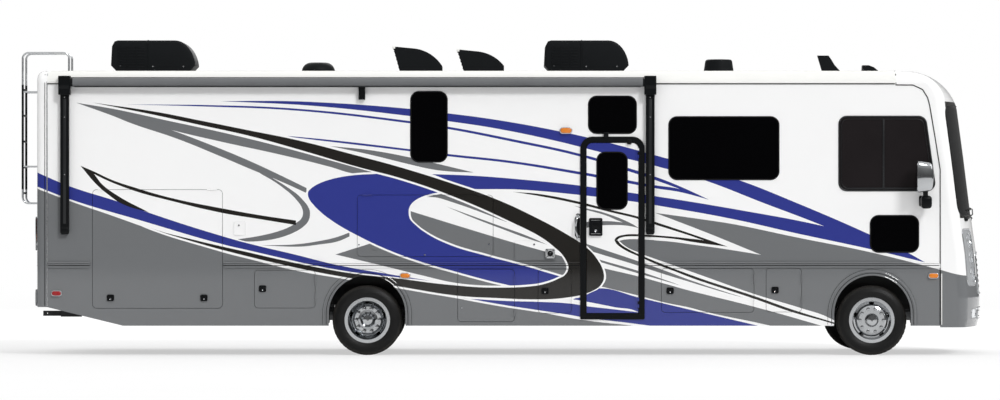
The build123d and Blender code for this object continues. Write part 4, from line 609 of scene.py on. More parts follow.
FINISHES: tuple[Finish, ...] = (
    # Two-stage polyurethane paint, sprayed: hard-edged colours, a wet clear coat with faint orange peel
    Livery(Look.LIVERY, Paint.WHITE.value, 0.5, coat=0.8, coat_roughness=0.04, mottle=0.02, mottle_mm=900.0,
        grain_mm=6.0, relief_mm=0.008, gloss_swing=0.06, specular=0.08),
    # TPO roofing sheet, calendered: chalky white with a fine pebble
    Finish(Look.ROOF, "#E9E9E6", 0.7, mottle=0.05, mottle_mm=600.0, grain_mm=5.0, relief_mm=0.15),
    # Privacy glass, float: near black and mirror smooth, faintly wavy
    Finish(Look.TINTED, "#020203", 0.04, mottle=0.3, mottle_mm=900.0, grain_mm=600.0, relief_mm=0.3,
        gloss_swing=0.02, specular=0.12),
    # Toughened glass, float: smoke grey, a shade lighter than the privacy glass
    Finish(Look.SMOKE, "#1F1C1D", 0.05, mottle=0.25, mottle_mm=700.0, grain_mm=600.0, relief_mm=0.3,
        gloss_swing=0.02, specular=0.12),
    # Laminated glass, float: smoke grey, clear enough to show the seats behind it
    Glazing(Look.CAB_GLASS, "#5B5F62", 0.02, mottle=0.05, grain_mm=500.0, relief_mm=0.2, gloss_swing=0.01),
    # Carbon-filled rubber, moulded: dark, half matt, with fine rings on the sidewall
    TyreRubber(Look.RUBBER, "#0B0B0B", 0.42, relief_mm=0.5, specular=0.25),
    # EPDM rubber, extruded: soft black with a dry sheen
    Finish(Look.SEAL, "#060607", 0.5, mottle=0.2, grain_mm=2.0, relief_mm=0.04, stretch=(8.0, 1.0, 1.0),
    specular=0.15),
    # Chrome on steel, plated and buffed: bright, with a trace of polishing haze
    Finish(Look.CHROME, "#B6B8BA", 0.09, metallic=1.0, mottle=0.04, mottle_mm=120.0, grain_mm=3.0,
        relief_mm=0.004, gloss_swing=0.06),
    # Aluminium, rolled and bright dipped: softer and streaked along the tube
    Finish(Look.BRUSHED, "#C4C6C8", 0.28, metallic=1.0, mottle=0.05, grain_mm=1.5, relief_mm=0.01,
        stretch=(1.0, 1.0, 30.0), gloss_swing=0.16),
    # Powder coat on aluminium, baked: deep black with a fine orange peel
    Finish(Look.BLACK, "#06080A", 0.3, mottle=0.15, grain_mm=3.5, relief_mm=0.04, specular=0.16),
    # ABS, vacuum formed with a leather grain
    Finish(Look.BLACK_ABS, "#131517", 0.5, mottle=0.15, mottle_mm=500.0, grain_mm=4.0, relief_mm=0.18,
        specular=0.08),
    # Extruded aluminium, anodised satin black: drawn lines along the coach
    Finish(Look.SATIN, "#1B1D1F", 0.36, metallic=0.4, mottle=0.12, grain_mm=2.0, relief_mm=0.02,
        stretch=(40.0, 1.0, 1.0)),
    # ABS, injection moulded in white
    Finish(Look.WHITE_ABS, "#E4E4E1", 0.4, mottle=0.04, grain_mm=3.0, relief_mm=0.05),
    # Chassis enamel, brushed on: black, uneven and dusty
    Finish(Look.CHASSIS, "#1D1E1F", 0.6, mottle=0.35, mottle_mm=160.0, grain_mm=9.0, relief_mm=0.3),
    # Grey iron, sand cast and painted: coarse skin
    Finish(Look.IRON, "#2B2B2A", 0.62, metallic=0.3, mottle=0.3, mottle_mm=120.0, grain_mm=5.0,
        relief_mm=0.5),
    # Birch ply, faced and sealed: long grain across the coach
    Finish(Look.PLYWOOD, "#8A7A62", 0.6, mottle=0.18, mottle_mm=300.0, grain_mm=6.0, relief_mm=0.1,
        stretch=(1.0, 25.0, 1.0)),
    # Polyethylene, rotationally moulded: waxy mid grey
    Finish(Look.BAY, "#6F7274", 0.55, mottle=0.08, grain_mm=7.0, relief_mm=0.12),
    # Polyethylene, blow moulded in black
    Finish(Look.TANK, "#19191A", 0.5, mottle=0.2, grain_mm=8.0, relief_mm=0.15),
    # Slush-moulded vinyl skin: dark grey with a hide grain
    Finish(Look.DASH, "#2D2E30", 0.6, mottle=0.12, grain_mm=4.0, relief_mm=0.25),
    # Aniline leather, drum dyed: warm grey with pores and creases
    Finish(Look.LEATHER, "#6A655E", 0.48, mottle=0.18, mottle_mm=90.0, grain_mm=3.5, relief_mm=0.35,
        coat=0.1),
    # Acrylic lenses, moulded with prisms
    RibbedLens(Look.AMBER, "#F08A24", 0.12, mottle=0.1, mottle_mm=30.0, relief_mm=0.5, transmission=0.25,
        rib_mm=8.0),
    RibbedLens(Look.RED, "#A4161C", 0.12, mottle=0.12, mottle_mm=30.0, relief_mm=0.5, transmission=0.2,
        rib_mm=8.0),
    Glazing(Look.CLEAR, "#F4F6F7", 0.03, mottle=0.01, grain_mm=40.0, relief_mm=0.05, gloss_swing=0.02),
    # Coated vinyl on a roller: dark grey, with the seams of its turns
    Finish(Look.AWNING, "#606264", 0.55, mottle=0.12, mottle_mm=250.0, grain_mm=3.0, relief_mm=0.1,
        stretch=(20.0, 1.0, 1.0)),
    # Silvered glass
    Finish(Look.MIRROR, "#E8EAEC", 0.02, metallic=1.0, mottle=0.01, grain_mm=300.0, relief_mm=0.01,
        gloss_swing=0.01),
    # Vapour-coated aluminium in a lamp bowl
    Finish(Look.REFLECTOR, "#E2E5E8", 0.22, metallic=0.6, mottle=0.06, mottle_mm=25.0, grain_mm=10.0,
        relief_mm=0.4, gloss_swing=0.1),
    # Self-levelling sealant, gunned round roof fittings
    Finish(Look.SEALANT, "#DCDCD7", 0.55, mottle=0.08, grain_mm=12.0, relief_mm=0.8),
)

NODE_LOOKS: dict[Look, str] = {
    Look.LIVERY: "side_wall_right side_wall_left skirt_right skirt_left front_cap rear_cap slide_room "
                 "body_trim "
                 "bay_door_tall bay_door_rear bay_door_upper bay_door_middle bay_door_small bay_door_long "
                 "bay_door_front left_bay_door_rear left_bay_door_front entry_door service_hatches",
    Look.ROOF: "roof",
    Look.BLACK: "entry_door_frame awning",
    Look.TINTED: "side_windows slide_glass entry_door_glass",
    Look.CAB_GLASS: "windshield",
    Look.CHASSIS: "chassis_frame front_axle rear_axle knuckle_right knuckle_left",
    Look.IRON: "engine",
    Look.TANK: "fuel_tank wheel_housings",
    Look.PLYWOOD: "house_floor",
    Look.BAY: "storage_bays",
    Look.DASH: "dashboard",
    Look.LEATHER: "cab_seats",
    Look.CHROME: "grille front_rim_right front_rim_left rear_rims_right rear_rims_left mirrors",
    Look.REFLECTOR: "headlamps",
    Look.AMBER: "lamps",
    Look.BLACK_ABS: "air_conditioners roof_vents antennas",
    Look.BRUSHED: "ladder",
    Look.RUBBER: "front_tyre_right front_tyre_left rear_tyres_right rear_tyres_left",
}


class Shop:
    """The finished materials, and the tools that shape and place pieces."""

    def __init__(self) -> None:
        """Build every material once."""
        self.materials = {finish.look: finish.build() for finish in FINISHES}

    def dress_nodes(self) -> None:
        """Give every CAD node its material."""
        for look, names in NODE_LOOKS.items():
            for name in names.split():
                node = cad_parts[name]
                for slot in node.material_slots:
                    slot.material = self.materials[look]
                if not node.material_slots:
                    node.data.materials.append(self.materials[look])

    def dress(self, piece: Piece, look: Look, body: str = ROOT, node: str = "", smooth: float = 35.0) -> None:
        """Finish a piece: material, smoothing, the body that carries it and the CAD node that it stands for.

        Args:
            piece: The piece, its place in its mesh, measured from the photograph's middle.
            look: Its finish.
            body: CAD body that it rides on.
            node: CAD node that it replaces, if any.
            smooth: Angle in degrees below which edges are shaded smooth.
        """
        piece.data.transform(Matrix.Translation((-MIDDLE_X, 0.0, 0.0)))
        piece.data.materials.clear()
        piece.data.materials.append(self.materials[look])
        pick(piece)
        bpy.ops.object.shade_smooth_by_angle(angle=math.radians(smooth))
        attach(piece, body)
        log.info("%s: %s on %s", piece.name, look.value, body)
        if node:
            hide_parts(node)

    def fit(self, *pairs: tuple[Piece, Look], body: str = ROOT, node: str = "", smooth: float = 35.0,
            both: bool = False) -> None:
        """Dress several pieces, with their mirror images where both sides have them.

        Args:
            pairs: Each piece with its finish.
            body: CAD body that they ride on.
            node: CAD node that they replace, if any.
            smooth: Angle in degrees below which edges are shaded smooth.
            both: Whether each kerb-side piece gets a twin on the driver's side.
        """
        for piece, look in pairs:
            twins = [copy_of(piece, piece.name.replace("kerb", "driver"), flip_y=True)] if both else []
            for half in (piece, *twins):
                self.dress(half, look, body, node, smooth)


def rest() -> None:
    """Leave edit mode and deselect everything."""
    if bpy.context.object and bpy.context.object.mode != "OBJECT":
        bpy.ops.object.mode_set(mode="OBJECT")
    bpy.ops.object.select_all(action="DESELECT")


def pick(*pieces: Piece) -> None:
    """Select the given pieces only, the last one active."""
    rest()
    for piece in pieces:
        piece.select_set(True)
        bpy.context.view_layer.objects.active = piece


def settle(piece: Piece) -> Piece:
    """Put a piece's place, turn and scale into its mesh."""
    pick(piece)
    bpy.ops.object.transform_apply(location=True, rotation=True, scale=True)
    return piece


@contextmanager
def editing(piece: Piece) -> Iterator[None]:
    """Work on a piece in edit mode with nothing selected at first."""
    pick(piece)
    bpy.ops.object.mode_set(mode="EDIT")
    bpy.ops.mesh.select_mode(type="FACE")
    bpy.ops.mesh.select_all(action="DESELECT")
    yield
    bpy.ops.object.mode_set(mode="OBJECT")


def select_faces(piece: Piece, test: Callable[[Vector, Vector], bool]) -> None:
    """Select the faces whose centre and normal pass a test, in edit mode."""
    bpy.ops.object.mode_set(mode="OBJECT")
    for part in (*piece.data.vertices, *piece.data.edges):
        part.select = False
    for face in piece.data.polygons:
        face.select = test(face.center, face.normal)
    bpy.ops.object.mode_set(mode="EDIT")


def select_facing(piece: Piece, way: Vec3) -> None:
    """Select the faces that look one way, in edit mode."""
    select_faces(piece, lambda middle, normal: normal.dot(Vector(way)) > 0.9)


def select_whole() -> None:
    """Select all of the piece, in edit mode."""
    bpy.ops.mesh.select_all(action="SELECT")


def pull(move: Vec3) -> None:
    """Extrude the selected faces by a distance, in edit mode."""
    bpy.ops.mesh.extrude_region_move(TRANSFORM_OT_translate={"value": move})


def modify(piece: Piece, kind: str, **settings: Union[float, int, str, bool]) -> Piece:
    """Add a modifier with its settings, apply it and return the piece."""
    pick(piece)
    modifier = piece.modifiers.new(kind.lower(), kind)
    for name, value in settings.items():
        setattr(modifier, name, value)
    bpy.ops.object.modifier_apply(modifier=modifier.name)
    return piece


def soften(piece: Piece, width: float, segments: int = 2) -> Piece:
    """Round a piece's sharp edges and return it."""
    return modify(piece, "BEVEL", width=width, segments=segments, limit_method="ANGLE",
                  angle_limit=math.radians(40.0))


def close_up(piece: Piece) -> Piece:
    """Merge doubles, turn the faces outwards and return the piece."""
    with editing(piece):
        select_whole()
        bpy.ops.mesh.remove_doubles(threshold=0.00005)
        bpy.ops.mesh.normals_make_consistent(inside=False)
    return piece


def newest(name: str) -> Piece:
    """Name the primitive that was just added, put its place into its mesh and return it."""
    piece = bpy.context.object
    piece.name = name
    return settle(piece)


def bar(name: str, low: Vec3, high: Vec3, round_by: float = 0.003, segments: int = 2) -> Piece:
    """Rounded bar between two corners.

    Args:
        name: Name of the piece.
        low: Lowest corner.
        high: Highest corner.
        round_by: Edge radius.
        segments: Steps of the rounding.

    Returns:
        The piece.
    """
    rest()
    bpy.ops.mesh.primitive_cube_add(size=1.0, location=[(a + b) / 2 for a, b in zip(low, high)],
                                    scale=[b - a for a, b in zip(low, high)])
    piece = newest(name)
    return soften(piece, round_by, segments) if round_by else piece


def drum(name: str, middle: Vec3, radius: float, depth: float, turn: Vec3 = (0.0, 0.0, 0.0),
         sides: int = 24) -> Piece:
    """Cylinder that caps, locks and flanges start from.

    Args:
        name: Name of the piece.
        middle: Its middle.
        radius: Its radius.
        depth: Its length.
        turn: Turn of its axis in degrees, which stands upright at zero.
        sides: Sides of its circle.

    Returns:
        The piece.
    """
    rest()
    bpy.ops.mesh.primitive_cylinder_add(vertices=sides, radius=radius, depth=depth, location=middle,
                                        rotation=[math.radians(a) for a in turn])
    return newest(name)


def prism(name: str, outline: Sequence[Vec3], move: Vec3) -> Piece:
    """Solid that carries an outline over a distance.

    Args:
        name: Name of the piece.
        outline: Points of its first face.
        move: Way to its other face.

    Returns:
        The piece.
    """
    rest()
    bpy.ops.mesh.primitive_circle_add(vertices=len(outline), radius=0.5, fill_type="NGON")
    piece = newest(name)
    for vertex, spot in zip(piece.data.vertices, outline):
        vertex.co = spot
    with editing(piece):
        select_whole()
        pull(move)
    return close_up(piece)


@dataclass(frozen=True)
class Plate:
    """Rounded rectangle that faces outwards on a side (x, z) or an end (y, z) of the coach."""

    low: Point
    high: Point
    radius: float
    steps: int = 8

    def face(self, name: str, at: float, facing: Vec3) -> Piece:
        """A flat face with rounded corners.

        Args:
            name: Name of the piece.
            at: Where its plane lies along the facing axis.
            facing: Direction it faces, along X or Y.

        Returns:
            The piece.
        """
        rest()
        middle, mid_z = (self.low[0] + self.high[0]) / 2, (self.low[1] + self.high[1]) / 2
        bpy.ops.mesh.primitive_plane_add(
            size=1.0, location=(at, middle, mid_z) if facing[0] else (middle, at, mid_z),
            rotation=Vector(facing).to_track_quat("Z", "Y").to_euler())
        bpy.context.object.scale = (self.high[0] - self.low[0], self.high[1] - self.low[1], 1.0)
        piece = newest(name)
        with editing(piece):
            bpy.ops.mesh.select_mode(type="VERT")
            select_whole()
            bpy.ops.mesh.bevel(offset=self.radius, segments=self.steps, affect="VERTICES")
        return piece

    def slab(self, name: str, at: float, facing: Vec3, depth: float, edge: float = 0.0,
             width: float = 0.0) -> Piece:
        """A solid plate or frame that stands out from its plane.

        Args:
            name: Name of the piece.
            at: Where its back plane lies along the facing axis.
            facing: Direction it faces.
            depth: How far it stands out.
            edge: Rounding of its edges.
            width: Width of the frame, or zero for a plate.

        Returns:
            The piece.
        """
        piece = self.face(name, at, facing)
        with editing(piece):
            select_whole()
            if width:
                bpy.ops.mesh.inset(thickness=width, depth=0.0)
                bpy.ops.mesh.delete(type="FACE")
                select_whole()
            pull([c * depth for c in facing])
        close_up(piece)
        return soften(piece, edge) if edge else piece


def from_curve(name: str, line: bpy.types.Curve) -> Piece:
    """Turn a curve into a mesh piece and return it."""
    piece = bpy.data.objects.new(name, line)
    bpy.context.scene.collection.objects.link(piece)
    pick(piece)
    bpy.ops.object.convert(target="MESH")
    return bpy.context.object


def tube(name: str, points: Sequence[Vec3], radius: float, smooth: bool = False, sides: int = 4) -> Piece:
    """Round bar that follows a short row of points.

    Args:
        name: Name of the piece.
        points: The line that it follows.
        radius: Its radius.
        smooth: Whether the line is curved through the points.
        sides: Bevel resolution.

    Returns:
        The piece.
    """
    rest()
    line = bpy.data.curves.new(name, "CURVE")
    line.dimensions = "3D"
    line.bevel_depth = radius
    line.bevel_resolution = sides
    line.use_fill_caps = True
    spline = line.splines.new("BEZIER")
    spline.bezier_points.add(len(points) - 1)
    for knot, point in zip(spline.bezier_points, points):
        knot.co = point
        knot.handle_left_type = knot.handle_right_type = "AUTO" if smooth else "VECTOR"
    return close_up(from_curve(name, line))


def spun(name: str, profile: Sequence[Point], centre: Vec3, steps: int, closed: bool = False) -> Piece:
    """Turn a profile round an axle along Y.

    Args:
        name: Name of the piece.
        profile: Radius and distance along Y of each point.
        centre: Point on the axle that the distances start from.
        steps: Steps of the full turn.
        closed: Whether the profile closes on itself.

    Returns:
        The piece.
    """
    rest()
    line = bpy.data.curves.new(name, "CURVE")
    line.dimensions = "3D"
    spline = line.splines.new("POLY")
    spline.points.add(len(profile) - 1)
    for knot, (radius, along) in zip(spline.points, profile):
        knot.co = (centre[0], centre[1] + along, centre[2] + radius, 1.0)
    spline.use_cyclic_u = closed
    piece = from_curve(name, line)
    with editing(piece):
        bpy.ops.mesh.select_mode(type="VERT")
        select_whole()
        bpy.ops.mesh.spin(steps=steps, angle=2.0 * math.pi, center=centre, axis=(0.0, 1.0, 0.0))
    return close_up(piece)


def copy_of(piece: Piece, name: str, move: Vec3 = (0.0, 0.0, 0.0), flip_y: bool = False) -> Piece:
    """Copy a piece with its own mesh, moved or mirrored across the middle plane.

    Args:
        piece: The piece to copy.
        name: Name of the copy.
        move: How far it goes.
        flip_y: Whether it is mirrored to the other side first.

    Returns:
        The copy, riding on nothing yet.
    """
    twin = bpy.data.objects.new(name, piece.data.copy())
    bpy.context.scene.collection.objects.link(twin)
    if flip_y:
        twin.data.transform(Matrix.Scale(-1.0, 4, (0.0, 1.0, 0.0)))
        twin.data.flip_normals()
    twin.data.transform(Matrix.Translation(move))
    return twin


def joined(name: str, pieces: Sequence[Piece]) -> Piece:
    """Join pieces of one finish into one and return it."""
    pick(*pieces)
    bpy.ops.object.join()
    whole = bpy.context.object
    whole.name = name
    return whole


@dataclass
class Studio:
    """Pale sweep, soft lights and the camera of the photograph."""

    floor_half: float = 60.0
    key_from: Vec3 = (8.4, -13.6, 12.0)
    key_spread: float = 14.0
    key_strength: float = 1.50
    aim_z: float = 1.6
    boxes: tuple[tuple[str, Vec3, float, float], ...] = (
        ("driver side", (0.0, 16.0, 11.0), 13.0, 1200.0), ("nose", (17.0, -4.0, 9.0), 8.0, 300.0),
        ("tail", (-17.0, 2.0, 9.0), 8.0, 60.0))

    def lights(self) -> None:
        """A wide key from high on the kerb side, and soft boxes on the other sides."""
        for name, place, size, power in self.boxes:
            rest()
            bpy.ops.object.light_add(type="AREA", location=place)
            lamp = bpy.context.object
            lamp.name = name
            lamp.data.shape = "SQUARE"
            lamp.data.size = size
            lamp.data.energy = power
            way = Vector((0.0, 0.0, self.aim_z)) - Vector(place)
            lamp.rotation_euler = way.to_track_quat("-Z", "Y").to_euler()
        rest()
        bpy.ops.object.light_add(type="SUN", location=self.key_from)
        key = bpy.context.object
        key.name = "key"
        key.data.angle = math.radians(self.key_spread)
        key.data.energy = self.key_strength
        key.rotation_euler = Vector(self.key_from).to_track_quat("Z", "Y").to_euler()

    def sky(self) -> None:
        """White to the camera; a soft graded dome to everything else."""
        world = bpy.data.worlds.new("studio dome")
        bpy.context.scene.world = world
        world.use_nodes = True
        tree = world.node_tree
        tree.nodes.clear()
        way = add_node(tree, "TexCoord").outputs["Generated"]
        up = add_node(tree, "SeparateXYZ", {0: way}).outputs[2]
        ramp = add_node(tree, "MapRange", {"Value": up, "From Min": -0.02, "From Max": 0.75, "To Min": 0.10,
                                           "To Max": 0.95}, interpolation_type="SMOOTHSTEP")
        soft = add_node(tree, "Background", {"Color": WHITE, "Strength": ramp})
        white = add_node(tree, "Background", {"Color": WHITE, "Strength": 1.0})
        ray = add_node(tree, "LightPath")
        mix = add_node(tree, "MixShader", {0: ray.outputs["Is Camera Ray"], 1: soft, 2: white})
        add_node(tree, "OutputWorld", {"Surface": mix})

    def floor(self) -> None:
        """Pale floor that keeps the coach's shadow and fades into the white far away."""
        material, tree = new_material(Look.FLOOR.value)
        point = add_node(tree, "TexCoord").outputs["Object"]
        cloud = add_node(tree, "TexNoise", {"Vector": point, "Scale": 0.4, "Detail": 2.0})
        tone = add_node(tree, "MapRange", {"Value": cloud, "To Min": 0.84, "To Max": 0.88})
        matt = add_node(tree, "BsdfDiffuse", {"Color": tone})
        glow = add_node(tree, "Emission", {"Color": WHITE, "Strength": 1.0})
        ray = add_node(tree, "LightPath")
        far = add_node(tree, "VectorMath", {0: point}, operation="LENGTH").outputs["Value"]
        fade = add_node(tree, "MapRange", {"Value": far, "From Min": 8.0, "From Max": 40.0, "To Min": 0.55,
                                           "To Max": 1.0})
        share = add_node(tree, "Math", {0: ray.outputs["Is Camera Ray"], 1: fade}, operation="MULTIPLY")
        add_node(tree, "OutputMaterial",
                 {"Surface": add_node(tree, "MixShader", {0: share, 1: matt, 2: glow})})
        rest()
        bpy.ops.mesh.primitive_plane_add(size=2 * self.floor_half, location=(0.0, 0.0, -0.001))
        sweep = newest("studio_floor")
        sweep.data.materials.append(material)

    def camera(self) -> None:
        """Long lens level with the coach's waist, as in the photograph."""
        rest()
        bpy.ops.object.camera_add(location=(photo_x(500.0), -BODY_Y - VIEW_DISTANCE, VIEW_HEIGHT),
                                  rotation=(math.radians(90.0), 0.0, 0.0))
        eye = bpy.context.object
        eye.data.sensor_width = SENSOR_MM
        eye.data.lens = SENSOR_MM * VIEW_DISTANCE / (1000.0 * PX_M)
        eye.data.clip_end = 400.0
        bpy.context.scene.camera = eye

    def build(self) -> None:
        """Set up the whole studio."""
        bpy.context.scene.view_settings.view_transform = "Standard"
        self.sky()
        self.lights()
        self.floor()
        self.camera()


@dataclass
class Assembly:
    """A group of pieces, finished with the materials of the shop."""

    shop: Shop


@dataclass
class Tyres(Assembly):
    """Six road tyres with ribs, tread blocks and moulded shoulders."""

    radius: float = 0.425
    bead: float = 0.2503
    groove: float = 0.012
    lift: float = 0.006
    steps: int = 160
    spacing: float = 0.310

    def profile(self) -> tuple[Point, ...]:
        """Cross-section: bead, bulged sidewalls and a tread with four grooves."""
        base = self.radius - self.lift
        deep = self.radius - self.groove
        right = (
            (self.bead, 0.0965), (0.262, 0.104), (0.278, 0.106), (0.281, 0.112), (0.300, 0.1185),
            (0.330, 0.1223), (0.352, 0.1225), (0.356, 0.1212), (0.380, 0.1175), (0.400, 0.109),
            (0.413, 0.099), (base, 0.088), (base, 0.062), (deep, 0.060), (deep, 0.051), (base, 0.049),
            (base, 0.021), (deep, 0.019), (deep, 0.011), (base, 0.009))
        return right + tuple((r, -y) for r, y in reversed(right))

    def blocks(self, tyre: Piece, centre: Vec3) -> None:
        """Raise the tread blocks, three steps on and one off, the rows staggered."""
        base = self.radius - self.lift
        turn = 2.0 * math.pi / self.steps

        def is_block(middle: Vector, normal: Vector) -> bool:
            """Whether a face of the ribs is raised."""
            off = middle - Vector(centre)
            if math.hypot(off.x, off.z) < base - 0.0015 or abs(off.y) > 0.09:
                return False
            row = 0 if abs(off.y) < 0.015 else 1 if abs(off.y) < 0.055 else 2
            step = int((math.atan2(off.z, off.x) % (2.0 * math.pi)) / turn + 0.5)
            return (step + 2 * row) % 4 != 0

        with editing(tyre):
            select_faces(tyre, is_block)
            bpy.ops.mesh.extrude_region_shrink_fatten(
                TRANSFORM_OT_shrink_fatten={"value": self.lift, "use_even_offset": True})

    def build(self) -> None:
        """Model one tyre and copy it to its six places."""
        centre = (FRONT_AXLE, -WHEEL_Y, AXLE_Z)
        first = spun("front_tyre_right_tread", self.profile(), centre, self.steps, closed=True)
        self.blocks(first, centre)
        back, across = REAR_AXLE - FRONT_AXLE, 2 * WHEEL_Y
        self.shop.dress(copy_of(first, "front_tyre_left_tread", (0.0, across, 0.0)), Look.RUBBER,
                        "front_wheel_left", "front_tyre_left")
        for name, aside, side in (("right_outer", 0.0, "right"), ("right_inner", self.spacing, "right"),
                                  ("left_outer", across, "left"),
                                  ("left_inner", across - self.spacing, "left")):
            twin = copy_of(first, f"rear_tyre_{name}", (back, aside, 0.0))
            self.shop.dress(twin, Look.RUBBER, f"rear_wheels_{side}", f"rear_tyres_{side}")
        self.shop.dress(first, Look.RUBBER, "front_wheel_right", "front_tyre_right")


@dataclass
class WheelTrim(Assembly):
    """Lug caps and valve stems of the wheels."""

    lug_circle: float = 0.1429
    lugs: int = 10
    lug_r: float = 0.0175
    # Body, its axle, how far the disc lies outside the wheel's middle, and the length of its caps
    wheels: tuple[tuple[str, float, float, float], ...] = (
        ("front_wheel", FRONT_AXLE, 0.098, 0.034), ("rear_wheels", REAR_AXLE, 0.006, 0.050))

    def cap(self, foot: Vec3, length: float) -> Piece:
        """Domed cap on a flared skirt, pointing out from a kerb-side wheel.

        Args:
            foot: Middle of its foot.
            length: How far it stands out.

        Returns:
            The piece.
        """
        x, y, z = foot
        piece = drum("lug", (x, y - length * 0.15, z), self.lug_r, length * 0.3, (90.0, 0.0, 0.0))
        for inset, rise in ((0.22, 0.45), (0.12, 0.2), (0.3, 0.05)):
            with editing(piece):
                select_facing(piece, KERB_WAY)
                bpy.ops.mesh.inset(thickness=self.lug_r * inset, depth=0.0)
                pull((0.0, -length * rise, 0.0))
        return soften(piece, self.lug_r * 0.06)

    def build(self) -> None:
        """Dress the front and rear wheels of both sides."""
        for body, x, disc, length in self.wheels:
            foot = -(WHEEL_Y + disc)
            first = self.cap((x + self.lug_circle, foot, AXLE_Z), length)
            centre = Matrix.Translation((x, 0.0, AXLE_Z))
            caps = [copy_of(first, "lug") for _ in range(self.lugs)]
            for i, lug in enumerate(caps):
                turn = Matrix.Rotation(2.0 * math.pi * i / self.lugs, 4, "Y")
                lug.data.transform(centre @ turn @ centre.inverted())
            bpy.data.objects.remove(first)
            stem = tube(f"{body}_right_valve",
                        ((x + 0.19, foot + 0.02, 0.5), (x + 0.185, foot - 0.045, 0.498)),
                        0.005)
            for piece in (joined(f"{body}_right_lug_caps", caps), stem):
                twin = copy_of(piece, piece.name.replace("right", "left"), flip_y=True)
                self.shop.dress(piece, Look.CHROME, f"{body}_right")
                self.shop.dress(twin, Look.CHROME, f"{body}_left")


@dataclass
class SideTrim(Assembly):
    """Rain gutter, belt beads, arch beads and the seam strips of both sides."""

    gutter_z: float = 3.312
    belt_z: float = 1.115
    belt_out: float = 0.0125
    arch_z: float = 0.505
    foot_z: float = 0.375
    front_seam: tuple[Point, ...] = (
        (4.806, 3.29), (5.02, 3.288), (5.135, 3.235), (5.197, 3.135), (5.222, 3.04), (5.29, 2.64),
        (5.35, 2.26),
        (5.35, 1.4), (5.35, 0.372))
    # Bead, radius of its line, radius of the bead, how far its line stands out, finish
    arch_beads: tuple[tuple[str, float, float, float, Look], ...] = (
        # The groove row is a black tube laid in the groove between lip and bead, standing for its shade:
        # painted shade
        ("lip", 0.474, 0.009, 0.012, Look.LIVERY), ("groove", 0.497, 0.0035, 0.0125, Look.SEAL),
        ("bead", 0.515, 0.007, 0.011, Look.LIVERY), ("seam", 0.541, 0.003, 0.001, Look.SEAL))

    def gutters(self) -> None:
        """Rain gutter along each roof edge, with a black strip under its lip as painted shadow."""
        y, z = -BODY_Y, self.gutter_z
        lip = bar("kerb_gutter", (REAR_SEAM, y - 0.016, z - 0.002), (4.80, y + 0.004, z + 0.02), 0.006)
        # The black strip under the lip is painted shadow: a dark band where the lip's shade falls
        insert = bar("kerb_gutter_insert", (REAR_SEAM + 0.002, y - 0.009, z - 0.014),
                     (4.798, y + 0.004, z - 0.002), 0.002)
        self.shop.fit((lip, Look.WHITE_ABS), (insert, Look.SEAL), both=True)

    def belts(self) -> None:
        """Half-round bead along the top of the belt moulding, with a black line under it as painted shadow.
        """
        for word, number, x0, x1 in (("kerb", "_0", -5.505, -4.99), ("kerb", "_1", -3.37, 0.965),
                                     ("kerb", "_2", 1.76, 5.34), ("driver", "", -5.505, 5.34)):
            y = SIDES[word] * (BODY_Y + self.belt_out)
            # The line row is a black strip under the bead that stands for the bead's shadow: painted shadow
            for kind, rise, thick, look in (("bead", 0.012, 0.009, Look.LIVERY),
                                            ("line", -0.022, 0.004, Look.SEAL)):
                z = self.belt_z + rise
                self.shop.dress(tube(f"{word}_belt_{kind}{number}", ((x0, y, z), (x1, y, z)), thick), look)

    def arches(self) -> None:
        """Painted lips round the wheel openings, with black tubes in the grooves as painted shade, straight
        down at both ends.
        """
        turns = [math.radians(6.0 * k) for k in range(31)]
        for i, x in enumerate((REAR_AXLE, FRONT_AXLE)):
            for kind, radius, thick, out, look in self.arch_beads:
                y = -BODY_Y - out
                line = [(x + radius * math.cos(a), y, self.arch_z + radius * math.sin(a)) for a in turns]
                line = [(x + radius, y, self.foot_z), *line, (x - radius, y, self.foot_z)]
                self.shop.fit((tube(f"kerb_arch_{kind}_{i}", line, thick, sides=2), look), both=True)

    def seams(self) -> None:
        """Strip over the rear seam, the rubber line where the front cap meets the sides, and a white strip
        beside that line's lower part as painted highlight.
        """
        y = -BODY_Y - 0.001
        bow = ((y + 0.045, 3.417), (y + 0.151, 3.461), (0.0, 3.461))
        over = ((y, 0.60), (y, 3.31), *bow)
        strip = tube("kerb_rear_strip", [(REAR_SEAM, a, b) for a, b in over], 0.008)
        inner = tube("kerb_rear_strip_inner", [(REAR_SEAM - 0.028, a, b) for a, b in over], 0.0035)
        line = tube("kerb_front_seam", [(x, y, z) for x, z in self.front_seam], 0.0065)
        # White strip beside the lower front seam: painted highlight along the seam's edge
        edge = bar("kerb_front_edge", (5.362, y - 0.002, 0.372), (5.374, y + 0.004, 0.995), 0.002)
        joint = tube("kerb_roof_joint", ((FRONT_SEAM, y, 3.30), (FRONT_SEAM, y + 0.045, 3.417),
                                         (FRONT_SEAM, y + 0.151, 3.4615), (FRONT_SEAM, 0.0, 3.4615)), 0.006)
        self.shop.fit((strip, Look.BRUSHED), (inner, Look.SEAL), (line, Look.SEAL), (edge, Look.WHITE_ABS),
                      (joint, Look.SEAL), both=True)

    def build(self) -> None:
        """Build every strip."""
        self.gutters()
        self.belts()
        self.arches()
        self.seams()


